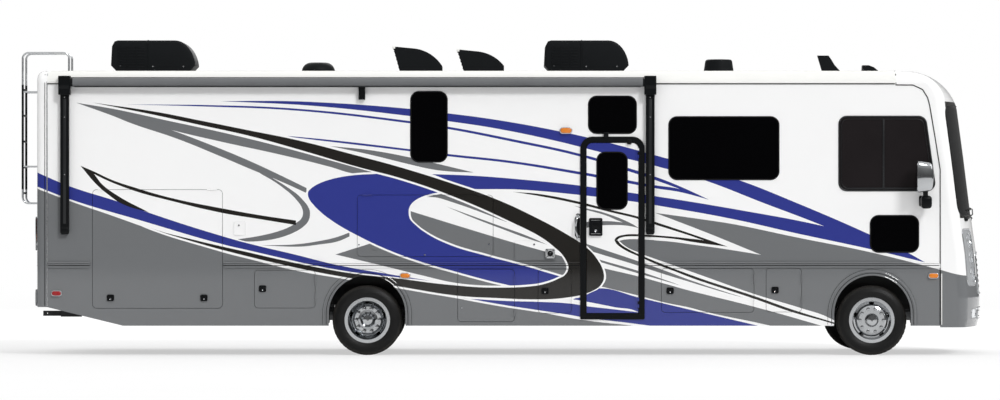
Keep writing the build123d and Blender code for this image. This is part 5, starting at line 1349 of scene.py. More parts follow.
@dataclass
class Windows(Assembly):
    """Rubber gaskets round every pane, and the sliding cab windows with their frames."""

    gasket: float = 0.016
    radius: float = 0.100
    # Name, body, side, distance of the wall's face from the middle, sizes along the coach and up
    panes: tuple[tuple[str, str, int, float, float, float, float, float], ...] = (
        ("kerb_window_0", ROOT, KERB, BODY_Y, -1.090, -0.648, 2.354, 3.208),
        ("kerb_window_1", ROOT, KERB, BODY_Y, 1.073, 1.653, 2.700, 3.152),
        ("kerb_window_2", ROOT, KERB, BODY_Y, 2.050, 3.387, 2.139, 2.902),
        ("kerb_window_3", ROOT, KERB, BODY_Y, 4.501, 5.087, 1.255, 1.700),
        ("driver_window_0", ROOT, DRIVER, BODY_Y, -4.300, -3.300, 2.139, 2.902),
        ("driver_window_1", ROOT, DRIVER, BODY_Y, 4.501, 5.087, 1.255, 1.700),
        ("slide_window", "slide_room", DRIVER, 1.325, 0.200, 1.700, 2.139, 2.902),
        ("entry_window", "entry_door", KERB, 1.287, 1.174, 1.542, 1.778, 2.471))
    cab: tuple[Point, ...] = ((4.125, 2.009), (5.290, 2.009), (5.165, 2.901), (4.125, 2.901))
    cab_radius: float = 0.090
    mullion_x: float = 4.660

    def cab_outline(self, inset: float, y: float) -> list[Vec3]:
        """Rounded outline of the cab window, drawn in by a distance.

        Args:
            inset: How far it is drawn in.
            y: Where its plane lies.

        Returns:
            Points of the closed line.
        """
        points: list[Vec3] = []
        corners = [Vector(c) for c in self.cab]
        radius = self.cab_radius - inset * 0.5
        for i, corner in enumerate(corners):
            back = (corners[i - 1] - corner).normalized()
            ahead = (corners[(i + 1) % len(corners)] - corner).normalized()
            half = back.angle(ahead) / 2.0
            centre = corner + (back + ahead).normalized() * ((radius + inset) / math.sin(half))
            start = corner + back * ((radius + inset) / math.tan(half)) - centre
            first = start.normalized() * radius
            for k in range(7):
                spot = centre + Matrix.Rotation((math.pi - 2.0 * half) * k / 6.0, 2) @ first
                points.append((spot.x, y, spot.y))
        return points

    def cab_window(self, word: str, side: int) -> None:
        """Lighter glass, black frame, thin bead, upright divider and sill of a cab window."""
        glass = prism(f"{word}_cab_pane", self.cab_outline(0.004, side * (BODY_Y + 0.0012)),
                      (0.0, side * 0.002, 0.0))
        y = side * (BODY_Y + 0.002)
        outer, inner = self.cab_outline(-0.004, y), self.cab_outline(0.026, y + side * 0.004)
        rim = tube(f"{word}_cab_frame", outer + outer[:2], 0.011, sides=3)
        bead = tube(f"{word}_cab_bead", inner + inner[:2], 0.0035, sides=2)
        low, high = sorted((y - side * 0.004, y + side * 0.009))
        post = bar(f"{word}_cab_divider", (self.mullion_x - 0.011, low, 2.03),
                   (self.mullion_x + 0.011, high, 2.88))
        sill = bar(f"{word}_cab_sill", (4.20, low, 2.022), (5.21, high, 2.04))
        self.shop.fit((glass, Look.SMOKE), *((piece, Look.SATIN) for piece in (rim, bead, post, sill)))

    def build(self) -> None:
        """Fit every window."""
        grow = self.gasket * 0.5
        for name, body, side, at, x0, x1, z0, z1 in self.panes:
            plate = Plate((x0 - grow, z0 - grow), (x1 + grow, z1 + grow), self.radius + grow)
            self.shop.dress(plate.slab(f"{name}_gasket", side * (at - 0.001), (0.0, side, 0.0), 0.008, 0.003,
                                       self.gasket), Look.SEAL, body)
        for word, side in SIDES.items():
            self.cab_window(word, side)


@dataclass
class DoorHardware(Assembly):
    """Paddle latches of the storage doors, and the entry door's handle, grab rail and stops."""

    latches: tuple[tuple[str, int, float, float], ...] = (
        ("bay_door_tall", KERB, -4.743, 0.700), ("bay_door_tall", KERB, -3.606, 0.700),
        ("bay_door_rear", KERB, -2.893, 0.812), ("bay_door_small", KERB, 0.543, 0.784),
        ("bay_door_long", KERB, 2.065, 0.787), ("bay_door_front", KERB, 3.341, 0.795),
        ("left_bay_door_rear", DRIVER, -3.692, 0.806), ("left_bay_door_front", DRIVER, 2.063, 0.790))
    pulls: tuple[tuple[str, float, float], ...] = (
        ("bay_door_middle", -0.49, 0.893), ("bay_door_middle", -0.47, 0.577),
        ("bay_door_upper", -1.72, 1.346),
        ("bay_door_upper", -0.14, 1.355), ("bay_door_upper", -0.92, 1.222))
    hatches: tuple[tuple[str, float, float, float, float], ...] = (
        ("hatch_small", -3.241, -3.101, 1.462, 1.632), ("hatch_big", 0.171, 0.671, 1.154, 1.400))

    def latch(self, name: str, body: str, side: int, middle: Point, size: Point = (0.088, 0.080),
              proud: float = 0.0) -> None:
        """Rounded bezel, sunk dish, hinged paddle and key lock.

        Args:
            name: Name of the latch.
            body: Door that carries it.
            side: Side of the coach.
            middle: Its middle, along the coach and up.
            size: Its width and height.
            proud: How far the door's skin stands out.
        """
        (x, z), (w, h) = middle, (size[0] / 2, size[1] / 2)
        y = side * (BODY_Y + proud + 0.004)
        way = (0.0, float(side), 0.0)
        ring = Plate((x - w, z - h), (x + w, z + h), 0.018)
        bezel = ring.slab(f"{name}_bezel", y, way, 0.012, 0.003, 0.30 * w)
        dish = Plate((x - w * 0.75, z - h * 0.72), (x + w * 0.75, z + h * 0.72), 0.008)
        paddle = Plate((x - w * 0.52, z - h * 0.15), (x + w * 0.52, z + h * 0.55), 0.006)
        lock = drum(f"{name}_lock", (x, y + side * 0.004, z - h * 0.42), 0.19 * w, 0.012, (90.0, 0.0, 0.0))
        with editing(lock):
            select_facing(lock, way)
            bpy.ops.mesh.inset(thickness=0.003, depth=-0.0015)
        self.shop.fit((bezel, Look.BLACK), (dish.slab(f"{name}_dish", y, way, 0.0035), Look.BLACK_ABS),
                      (paddle.slab(f"{name}_paddle", y + side * 0.003, way, 0.008, 0.003), Look.BLACK),
                      (lock, Look.CHROME), body=body)

    def entry(self) -> None:
        """Entry latch, D-shaped grab rail on a black plate that is painted dark reflection of the chrome,
        door catch and the stop over the door ring.
        """
        self.latch("entry_latch", "entry_door", KERB, (1.1595, 1.562), (0.163, 0.218), 0.018)
        y = -BODY_Y
        rail = tube("grab_rail", ((0.945, y + 0.004, 1.43), (0.935, y - 0.045, 1.445),
                                  (0.915, y - 0.062, 1.565),
                                  (0.935, y - 0.045, 1.685), (0.945, y + 0.004, 1.70)), 0.013, smooth=True)
        self.shop.dress(rail, Look.CHROME)
        # Name, low corner, high corner, corner radius, how far proud, depth, rounding, finish
        for name, low, high, radius, proud, depth, edge, look in (
                ("grab_rail_foot_0", (0.920, 1.40), (0.970, 1.46), 0.02, -0.001, 0.008, 0.002, Look.CHROME),
                ("grab_rail_foot_1", (0.920, 1.67), (0.970, 1.73), 0.02, -0.001, 0.008, 0.002, Look.CHROME),
                # The black plate behind the rail is painted dark reflection of the chrome rail
                ("grab_rail_dark_reflection_plate", (0.905, 1.435), (0.968, 1.695), 0.03, -0.001, 0.006, 0.002, Look.BLACK),
                ("door_catch", (1.255, 2.655), (1.315, 2.712), 0.01, 0.010, 0.03, 0.006, Look.BLACK),
                ("door_stop", (1.54, 2.565), (1.595, 2.625), 0.014, 0.006, 0.035, 0.008, Look.SEAL)):
            self.shop.dress(Plate(low, high, radius).slab(name, y - proud, KERB_WAY, depth, edge), look)

    def service(self) -> None:
        """Locks and edges of the two service hatches, and the water inlet's collar."""
        for name, x0, x1, z0, z1 in self.hatches:
            y = -BODY_Y - 0.005
            edge = Plate((x0, z0), (x1, z1), 0.02).slab(f"{name}_edge", y, KERB_WAY, 0.006, 0.0015, 0.006)
            lock = spun(f"{name}_lock", ((0.0, -0.001), (0.011, -0.001), (0.011, -0.009), (0.008, -0.012),
                                         (0.0, -0.012)), ((x0 + x1) / 2 - 0.01, y, z1 - 0.05), 24)
            self.shop.fit((edge, Look.LIVERY), (lock, Look.CHROME))
        plate = Plate((0.5475, 1.182), (0.6635, 1.298), 0.016)
        collar = spun("inlet_collar", ((0.014, 0.0), (0.034, 0.0), (0.034, -0.006), (0.026, -0.013),
                                       (0.014, -0.013)), (0.6055, -1.316, 1.240), 40, closed=True)
        self.shop.fit((plate.slab("inlet_plate", -1.3155, KERB_WAY, 0.005, 0.002, 0.030), Look.BRUSHED),
                      (collar, Look.BLACK))

    def build(self) -> None:
        """Fit every latch."""
        for i, (body, side, x, z) in enumerate(self.latches):
            self.latch(f"bay_latch_{i}", body, side, (x, z))
        for i, (body, x, z) in enumerate(self.pulls):
            knob = ((0.0, 0.0), (0.009, 0.0), (0.009, -0.006), (0.006, -0.009), (0.0, -0.009))
            self.shop.dress(spun(f"bay_pull_{i}", knob, (x, -BODY_Y, z), 20), Look.CHROME, body)
        self.entry()
        self.service()


@dataclass
class Lamps(Assembly):
    """Marker, porch and tail lamps: bases, bezels and domed lenses."""

    def marker(self, name: str, middle: Vec3, size: Point, facing: Vec3, look: Look) -> None:
        """Oval lens on a slim base.

        Args:
            name: Name of the lamp.
            middle: Middle of its foot.
            size: Length and height.
            facing: Direction that it faces.
            look: Finish of the lens.
        """
        across, at = (middle[0], middle[1]) if facing[1] else (middle[1], middle[0])
        length, height, z = size[0] / 2, size[1] / 2, middle[2]
        base = Plate((across - length, z - height), (across + length, z + height), height * 0.9)
        lens = Plate((across - length * 0.88, z - height * 0.8), (across + length * 0.88, z + height * 0.8),
                     height * 0.78)
        self.shop.fit((base.slab(f"{name}_base", at, facing, 0.020, 0.003), Look.BRUSHED),
                      (lens.slab(f"{name}_lens", at + (facing[1] or facing[0]) * 0.018, facing, height * 0.7,
                                 height * 0.45), look), node="lamps", smooth=60.0)

    def tail(self, word: str, side: int) -> None:
        """Upright tail lamp: bezel, red, amber and clear windows."""
        y0, y1 = sorted((side * 1.072, side * 1.188))
        ring = Plate((y0, 1.275), (y1, 1.685), 0.03)
        bezel = ring.slab(f"{word}_tail_bezel", -5.655, REAR_WAY, 0.012, 0.004, 0.012)
        self.shop.dress(bezel, Look.CHROME, node="lamps")
        for kind, z0, z1, look in (("stop", 1.49, 1.673, Look.RED), ("turn", 1.39, 1.485, Look.AMBER),
                                   ("reverse", 1.287, 1.385, Look.CLEAR)):
            lens = Plate((y0 + 0.013, z0), (y1 - 0.013, z1), 0.014)
            self.shop.dress(lens.slab(f"{word}_tail_{kind}", -5.654, REAR_WAY, 0.011, 0.006), look,
                            node="lamps")

    def build(self) -> None:
        """Fit the lamps of both sides and the rear."""
        self.marker("porch_lamp", (0.798, -BODY_Y + 0.001, 2.735), (0.155, 0.080), KERB_WAY, Look.AMBER)
        for name, x, z, look in (("side_marker_rear", -5.399, 0.754, Look.RED),
                                 ("side_marker_middle", -1.159, 0.970, Look.AMBER),
                                 ("side_marker_front", 5.267, 0.969, Look.AMBER)):
            for word, side in SIDES.items():
                self.marker(f"{word}_{name}", (x, side * (BODY_Y - 0.002), z), (0.128, 0.068),
                            (0.0, float(side), 0.0), look)
        for i, y in enumerate((-0.170, 0.0, 0.170)):
            self.marker(f"rear_roof_marker_{i}", (-5.646, y, 3.295), (0.11, 0.04), REAR_WAY, Look.RED)
        for word, side in SIDES.items():
            self.tail(word, side)


@dataclass
class Awning(Assembly):
    """Rolled awning: fabric roll, hem bar, weather rail, and its two folded arms."""

    roll_y: float = -1.343
    roll_z: float = 3.320
    roll_r: float = 0.0545
    wound: float = 0.0022
    roll_x: Point = (-5.225, 1.760)
    arms_x: tuple[float, ...] = (-5.296, 1.821)

    def roll(self) -> None:
        """Fabric wound on its tube, with the hem bar along it and the rail on the wall."""
        (x0, x1), y, z = self.roll_x, self.roll_y, self.roll_z
        outline = []
        for k in range(24):
            radius, turn = self.roll_r + self.wound * k / 24.0, math.radians(-60.0 + 15.0 * k)
            outline.append((x0 + 0.03, y - radius * math.sin(turn), z + radius * math.cos(turn)))
        cloth = prism("awning_roll", outline, (x1 - x0 - 0.06, 0.0, 0.0))
        hem = bar("awning_hem_bar", (x0 + 0.05, y - 0.036, z - 0.060), (x1 - 0.05, y - 0.014, z - 0.047),
                  0.004)
        rail = bar("awning_rail", (x0, -BODY_Y - 0.016, 3.362), (x1, -BODY_Y + 0.002, 3.384), 0.004)
        self.shop.fit((cloth, Look.AWNING), (hem, Look.SATIN), (rail, Look.SATIN))

    def arm(self, name: str, x: float) -> None:
        """One folded arm: tapered head, outer channel, inner slide, foot and screws.

        Args:
            name: Name of the arm.
            x: Its middle.
        """
        y = -BODY_Y
        head = bar(f"{name}_head", (x - 0.074, y - 0.121, 3.245), (x + 0.074, y + 0.001, 3.400), 0.0)
        with editing(head):
            select_facing(head, (0.0, 0.0, -1.0))
            pull((0.0, 0.0, -0.085))
            bpy.ops.transform.resize(value=(0.74, 0.62, 1.0), center_override=(x, y, 3.16))
            select_facing(head, (0.0, 0.0, 1.0))
            bpy.ops.transform.resize(value=(0.86, 0.9, 1.0), center_override=(x, y, 3.4))
        channel = bar(f"{name}_channel", (x - 0.0535, y - 0.0625, 1.492), (x + 0.0535, y - 0.030, 3.19), 0.0)
        with editing(channel):
            select_facing(channel, KERB_WAY)
            bpy.ops.mesh.inset(thickness=0.018, depth=-0.008)
        slide = bar(f"{name}_slide", (x - 0.020, y - 0.0605, 1.60), (x + 0.020, y - 0.050, 3.12), 0.004)
        foot = bar(f"{name}_foot", (x - 0.050, y - 0.068, 1.470), (x + 0.050, y + 0.001, 1.560), 0.020, 4)
        dome = ((0.0, 0.0), (0.009, 0.0), (0.007, -0.004), (0.0, -0.005))
        screws = [spun(f"{name}_screw_{i}", dome, (x, y - 0.062, z), 16)
                  for i, z in enumerate((1.53, 2.2, 2.9, 3.14))]
        self.shop.fit((soften(head, 0.018, 4), Look.BLACK), (soften(channel, 0.008, 3), Look.BLACK),
                      (slide, Look.SATIN), (foot, Look.BLACK), *((screw, Look.CHROME) for screw in screws))

    def build(self) -> None:
        """Fit the roll and both arms."""
        self.roll()
        for i, x in enumerate(self.arms_x):
            self.arm(f"awning_arm_{i}", x)


@dataclass
class Mirrors(Assembly):
    """Door mirrors: chromed shells with their glass, on black arms."""

    x: float = 5.135
    z: float = 2.172
    out: float = 1.630
    width: float = 0.240
    length: float = 0.195
    height: float = 0.415

    def shell(self) -> Piece:
        """Kerb-side shell: flat behind, domed and narrowed to the front."""
        y0, y1 = -self.out, -self.out + self.width
        body = bar("kerb_mirror_shell", (self.x - self.length / 2, y0, self.z - self.height / 2),
                   (self.x + self.length / 2, y1, self.z + self.height / 2), 0.0)
        with editing(body):
            select_facing(body, (1.0, 0.0, 0.0))
            bpy.ops.transform.resize(value=(1.0, 0.62, 0.78), center_override=(self.x, (y0 + y1) / 2, self.z))
            select_whole()
            bpy.ops.mesh.subdivide(number_cuts=3)
            bpy.ops.transform.tosphere(value=0.22)
            select_facing(body, REAR_WAY)
            bpy.ops.mesh.inset(thickness=0.012, depth=-0.008)
        return modify(body, "SUBSURF", levels=1, render_levels=1)

    def build(self) -> None:
        """Fit both mirrors in place of their plain solids."""
        x, z, back = self.x, self.z, self.x - self.length / 2 + 0.010
        y0, y1 = -self.out + 0.028, -self.out + self.width - 0.028
        main = Plate((y0, z - 0.06), (y1, z + 0.165), 0.03).slab("kerb_mirror_glass", back, REAR_WAY, 0.004)
        small = Plate((y0, z - 0.165), (y1, z - 0.075), 0.03)
        low = small.slab("kerb_mirror_low_glass", back, REAR_WAY, 0.004)
        neck = tube("kerb_mirror_neck", ((x + 0.015, -self.out + 0.155, z - 0.17), (x + 0.02, -1.46, 1.93),
                                         (x + 0.02, -1.40, 1.885), (x + 0.02, -1.30, 1.878)), 0.032,
                    smooth=True)
        foot = bar("kerb_mirror_foot", (5.090, -1.322, 1.812), (5.222, -1.279, 1.943), 0.018, 4)
        joint = bar("kerb_mirror_joint", (5.100, -1.52, 1.785), (5.232, -1.365, 1.945), 0.045, 5)
        self.shop.fit((self.shell(), Look.CHROME), (main, Look.MIRROR), (low, Look.MIRROR),
                      (neck, Look.BLACK),
                      (foot, Look.BLACK), (joint, Look.BLACK), node="mirrors", smooth=50.0, both=True)


@dataclass
class Ladder(Assembly):
    """Grip sleeves, rung treads and mounting feet of the rear ladder."""

    x: float = -5.846
    sides_y: tuple[float, ...] = (-0.950, -0.550)
    rungs: int = 5
    rung_z: float = 1.972
    pitch: float = 0.316
    feet_z: tuple[float, ...] = (1.85, 2.30, 3.24)
    roof_x: float = -5.280

    def build(self) -> None:
        """Fit the sleeves, treads and feet."""
        x = self.x
        for i in range(self.rungs):
            z = self.rung_z + i * self.pitch
            tread = bar(f"ladder_tread_{i}", (x - 0.016, -0.925, z - 0.008), (x + 0.016, -0.575, z + 0.015),
                        0.005)
            self.shop.dress(tread, Look.BLACK_ABS)
        for i, y in enumerate(self.sides_y):
            grip = tube(f"ladder_grip_{i}", ((x, y, 2.02), (x, y, 3.30)), 0.0145)
            pad = bar(f"ladder_roof_foot_{i}", (self.roof_x - 0.045, y - 0.035, 3.458),
                      (self.roof_x + 0.045, y + 0.035, 3.472), 0.005)
            self.shop.fit((grip, Look.BLACK_ABS), (pad, Look.BRUSHED))
            for k, z in enumerate(self.feet_z):
                foot = Plate((y - 0.032, z - 0.032), (y + 0.032, z + 0.032), 0.02)
                self.shop.dress(foot.slab(f"ladder_foot_{i}_{k}", -5.641, REAR_WAY, 0.010, 0.003),
                                Look.BRUSHED)


@dataclass
class RoofFittings(Assembly):
    """Shrouds, seams, louvres, gaskets and fixings of the roof equipment."""

    units: tuple[tuple[str, float], ...] = (("rear", -4.820), ("front", 0.543))
    unit_l: float = 1.045
    unit_half: float = 0.370
    unit_top: float = 3.866
    hoods: tuple[tuple[float, float, float], ...] = ((-1.333, -0.723, 0.334), (-0.537, 0.045, 0.298))
    hood_half: float = 0.260
    # Name, middle along the roof, radius of the fitting, finish
    collars: tuple[tuple[str, float, float, Look], ...] = (
        ("skylight_flange", -2.266, 0.207, Look.WHITE_ABS), ("drum_flange", 2.718, 0.191, Look.BLACK_ABS))

    def shroud(self, name: str, x: float) -> Piece:
        """Moulded shroud: raked ends, flat top, a nose that rounds down to the front, soft edges.

        Args:
            name: Name of the shroud.
            x: Its rear end.

        Returns:
            The shroud.
        """
        length, top, brow = self.unit_l, self.unit_top, ROOF_Z + 0.095
        nose = [(x + length * (0.76 + 0.24 * math.sin(a)), brow + (top - brow) * math.cos(a) ** 1.15)
                for a in (math.radians(9.0 * k) for k in range(11))]
        line = [(x + 0.09, ROOF_Z), (x, brow), (x + 0.012, top - 0.075), (x + 0.045, top - 0.012),
                (x + 0.085, top), *nose, (x + length - 0.09, ROOF_Z)]
        piece = prism(name, [(along, -self.unit_half, up) for along, up in line],
                      (0.0, 2 * self.unit_half, 0.0))
        with editing(piece):
            bpy.ops.mesh.select_mode(type="EDGE")
            select_faces(piece, lambda middle, normal: abs(normal.y) > 0.9)
            bpy.ops.mesh.region_to_loop()
            bpy.ops.mesh.bevel(offset=0.032, segments=4)
        return piece

    def louvres(self, word: str, x: float) -> None:
        """Intake slats and their stiles on both sides of one air conditioner.

        Args:
            word: Which unit.
            x: Its rear end.
        """
        for hand, side in SIDES.items():
            low, high = sorted((side * 0.355, side * 0.3765))
            slats = [bar("slat", (x + 0.085, low, ROOF_Z + 0.075 + 0.034 * k),
                         (x + 0.42, high, ROOF_Z + 0.085 + 0.034 * k), 0.002) for k in range(8)]
            slats += [bar("stile", (x + along, low, ROOF_Z + 0.07), (x + along + 0.012, high, ROOF_Z + 0.33),
                          0.002)
                      for along in (0.09, 0.20, 0.31)]
            self.shop.dress(joined(f"{word}_unit_louvres_{hand}", slats), Look.BLACK_ABS)

    def unit(self, word: str, x: float) -> None:
        """Shroud, gasket, louvres, seam and screws of one air conditioner.

        Args:
            word: Which unit.
            x: Its rear end.
        """
        self.shop.dress(self.shroud(f"{word}_unit_shroud", x), Look.BLACK_ABS, node="air_conditioners")
        gasket = bar(f"{word}_unit_gasket", (x + 0.08, -0.335, ROOF_Z - 0.002),
                     (x + self.unit_l - 0.08, 0.335, ROOF_Z + 0.016), 0.004)
        self.shop.dress(gasket, Look.SEAL)
        self.louvres(word, x)
        edge, top, foot = self.unit_half + 0.002, self.unit_top - 0.002, ROOF_Z + 0.01
        over = ((-edge, foot), (-edge, top - 0.034), (-edge + 0.034, top), (edge - 0.034, top),
                (edge, top - 0.034),
                (edge, foot))
        seam = tube(f"{word}_unit_seam", [(x + 0.46, y, z) for y, z in over], 0.009, sides=2)
        screws = [spun("screw", ((0.0, 0.0), (0.011, 0.0), (0.009, side * 0.005), (0.0, side * 0.006)),
                       (x + along, side * 0.3700, ROOF_Z + 0.085), 16)
                  for side in (KERB, DRIVER) for along in (0.12, 0.52, 0.90)]
        self.shop.fit((seam, Look.BLACK_ABS), (joined(f"{word}_unit_screws", screws), Look.CHROME))

    def hood(self, index: int, x0: float, x1: float, height: float) -> None:
        """Flange, rear louvre and pale rim of one vent hood.

        Args:
            index: Number of the hood.
            x0: Rear end of its top.
            x1: Front end.
            height: Its height.
        """
        half, top = self.hood_half, ROOF_Z + height
        flange = bar(f"hood_{index}_flange", (x0 + 0.075, -half - 0.022, ROOF_Z - 0.001),
                     (x1 + 0.022, half + 0.022, ROOF_Z + 0.010))
        slats = []
        for share in (0.2, 0.35, 0.5, 0.65, 0.8):
            x, z = x0 + 0.092 * (1.0 - share), ROOF_Z + height * share
            slats.append(bar("slat", (x - 0.006, -half + 0.04, z), (x + 0.02, half - 0.04, z + 0.012)))
        rim = bar(f"hood_{index}_rim", (x0 - 0.004, -half - 0.006, top - 0.030),
                  (x0 + 0.030, half + 0.006, top + 0.004), 0.008, 3)
        self.shop.fit((flange, Look.WHITE_ABS), (joined(f"hood_{index}_louvres", slats), Look.BLACK_ABS),
                      (rim, Look.WHITE_ABS))

    def build(self) -> None:
        """Fit the roof's details."""
        for word, x in self.units:
            self.unit(word, x)
        for i, (x0, x1, height) in enumerate(self.hoods):
            self.hood(i, x0, x1, height)
        for name, x, radius, look in self.collars:
            flange = drum(name, (x, 0.0, ROOF_Z + 0.006), radius + 0.022, 0.014, sides=64)
            with editing(flange):
                select_facing(flange, (0.0, 0.0, 1.0))
                bpy.ops.mesh.inset(thickness=0.012, depth=0.008)
            self.shop.dress(soften(flange, 0.002), look)
        fin = bar("fin_gasket", (3.995, -0.052, ROOF_Z - 0.001), (4.252, 0.052, ROOF_Z + 0.008))
        wedge = bar("wedge_gasket", (4.488, -0.102, ROOF_Z - 0.001), (4.712, 0.102, ROOF_Z + 0.008))
        self.shop.fit((fin, Look.SEAL), (wedge, Look.SEAL))
        laps = [(f"{word}_roof_sealant", (-5.49, side * 1.10, ROOF_Z + 0.0005),
                 (4.80, side * 1.10, ROOF_Z + 0.0005),
                 0.006) for word, side in SIDES.items()]
        laps += [(name, (x, -1.10, ROOF_Z), (x, 1.10, ROOF_Z), 0.007)
                 for name, x in (("roof_front_sealant", FRONT_SEAM), ("roof_rear_sealant", REAR_SEAM))]
        for name, start, end, thick in laps:
            self.shop.dress(tube(name, (start, end), thick), Look.SEALANT)


@dataclass
class FrontFace(Assembly):
    """Windshield rubber and wipers, grille mesh, lamp rings and beads, all laid on the cap's skin."""

    nose: tuple[Point, ...] = ((0.340, 5.915), (0.440, 5.940), (0.700, 5.948), (1.230, 5.905), (1.692, 5.840),
                               (2.400, 5.752), (3.018, 5.669), (3.080, 5.645))
    arc: float = 3.000
    corner_r: float = 0.150
    wiper_pivots: tuple[float, ...] = (-0.98, 0.12)
    wiper_reach: float = 0.36

    def skin(self, y: float, z: float, out: float = 0.0) -> Vec3:
        """The point of the cap's face at a width and height, moved outwards.

        Args:
            y: Distance from the centre plane.
            z: Height.
            out: How far in front of the face.

        Returns:
            The point.
        """
        for (z0, x0), (z1, x1) in zip(self.nose, self.nose[1:]):
            if z <= z1 or (z1, x1) == self.nose[-1]:
                reach = x0 + (x1 - x0) * (z - z0) / (z1 - z0)
                break
        turn_y = BODY_Y - self.corner_r
        inner = self.arc - self.corner_r
        if abs(y) <= turn_y * self.arc / inner:
            share = y / self.arc
            return (reach - self.arc + (self.arc + out) * math.sqrt(1.0 - share * share), y + out * share, z)
        middle = reach - self.arc + math.sqrt(inner ** 2 - turn_y ** 2)
        over = min((abs(y) - turn_y) / self.corner_r, 1.0)
        round_r = self.corner_r + out
        return (middle + round_r * math.sqrt(1.0 - over * over), math.copysign(turn_y + round_r * over, y), z)

    def loop(self, name: str, middle: Point, half: Point, radius: float, thick: float,
             out: float = 0.0) -> Piece:
        """A bead round a rounded rectangle on the face.

        Args:
            name: Name of the bead.
            middle: Its middle, across and up.
            half: Half its width and height.
            radius: Corner radius.
            thick: Radius of the bead.
            out: How far in front of the face its middle lies.

        Returns:
            The bead.
        """
        flat = []
        for quarter, (across, up) in enumerate(((1, 1), (-1, 1), (-1, -1), (1, -1))):
            y, z = middle[0] + across * (half[0] - radius), middle[1] + up * (half[1] - radius)
            turns = [math.radians(90.0 * quarter + 15.0 * k) for k in range(7)]
            flat += [(y + radius * math.cos(a), z + radius * math.sin(a)) for a in turns]
        flat.append(flat[0])
        path = []
        for (y0, z0), (y1, z1) in zip(flat, flat[1:]):
            steps = max(1, round(math.hypot(y1 - y0, z1 - z0) / 0.09))
            path += [self.skin(y0 + (y1 - y0) * k / steps, z0 + (z1 - z0) * k / steps, out)
                     for k in range(steps)]
        return tube(name, path + path[:1], thick, sides=2)

    def glass_trim(self) -> None:
        """Gasket and middle bar of the windshield, with both wipers."""
        gasket = self.loop("windshield_gasket", (0.0, 2.3725), (1.215, 0.6725), 0.120, 0.0085, -0.002)
        upright = [self.skin(0.0, z, 0.001) for z in (1.712, 2.05, 2.4, 2.7, 3.018)]
        self.shop.fit((gasket, Look.SEAL), (tube("windshield_bar", upright, 0.011, sides=2), Look.SEAL))
        for i, pivot in enumerate(self.wiper_pivots):
            middle = pivot + 0.58
            arm = tube(f"wiper_arm_{i}", (
                self.skin(pivot, 1.655), self.skin(pivot, 1.665, 0.045),
                self.skin((pivot + middle) / 2, 1.715, 0.050), self.skin(middle, 1.775, 0.030)), 0.008,
                       sides=2)
            edge = [self.skin(middle - self.wiper_reach + 0.12 * k, 1.765 + 0.004 * k, 0.014)
                    for k in range(7)]
            cap = drum(f"wiper_pivot_{i}", self.skin(pivot, 1.655, 0.012), 0.026, 0.05, (0.0, 90.0, 0.0))
            self.shop.fit((arm, Look.BLACK), (tube(f"wiper_blade_{i}", edge, 0.009, sides=2), Look.BLACK),
                          (soften(cap, 0.006), Look.BLACK))

    def grille(self) -> None:
        """Upright rods behind the grille bars and the lower intake, and chrome round both openings."""
        # Opening, its middle height, half sizes, corner and bead radius, and its rods:
        # how many, the first one's place, their heights, how deep they lie and their radius
        for word, z, half, radius, bead, count, first, heights, sunk, thick in (
                ("grille", 0.990, (0.612, 0.252), 0.052, 0.008, 26, -0.575, (0.765, 0.99, 1.215), -0.020,
                 0.0035),
                ("intake", 0.500, (0.692, 0.067), 0.032, 0.006, 25, -0.66, (0.455, 0.545), -0.022, 0.003)):
            step = -2.0 * first / (count - 1)
            rods = [tube("rod", [self.skin(first + step * k, up, sunk) for up in heights], thick, sides=1)
                    for k in range(count)]
            self.shop.fit((joined(f"{word}_mesh", rods), Look.BLACK_ABS),
                          (self.loop(f"{word}_bead", (0.0, z), half, radius, bead, 0.006), Look.CHROME))

    def lamps(self) -> None:
        """Bezel beads, bright bowl rings and inner projector rings of the head and fog lamps."""
        # Name, middle, half sizes, corner radius, bead radius, how far proud, finish
        rows = [("headlamp_bead", (0.985, 1.190), (0.206, 0.346), 0.074, 0.006, 0.003, Look.CHROME),
                ("fog_bead", (0.920, 0.500), (0.112, 0.057), 0.038, 0.005, 0.0, Look.CHROME)]
        for i, z in enumerate((1.400, 1.190, 0.980)):
            rows += [(f"bowl_ring_{i}", (0.935, z), (0.090, 0.090), 0.0899, 0.006, 0.001, Look.CHROME),
                     (f"projector_ring_{i}", (0.935, z), (0.052, 0.052), 0.0519, 0.0045, -0.004,
                      Look.BRUSHED)]
        for word, side in SIDES.items():
            for name, (y, z), half, radius, thick, out, look in rows:
                self.shop.dress(self.loop(f"{word}_{name}", (side * y, z), half, radius, thick, out), look)

    def build(self) -> None:
        """Lay the trim on the face."""
        self.glass_trim()
        self.grille()
        self.lamps()


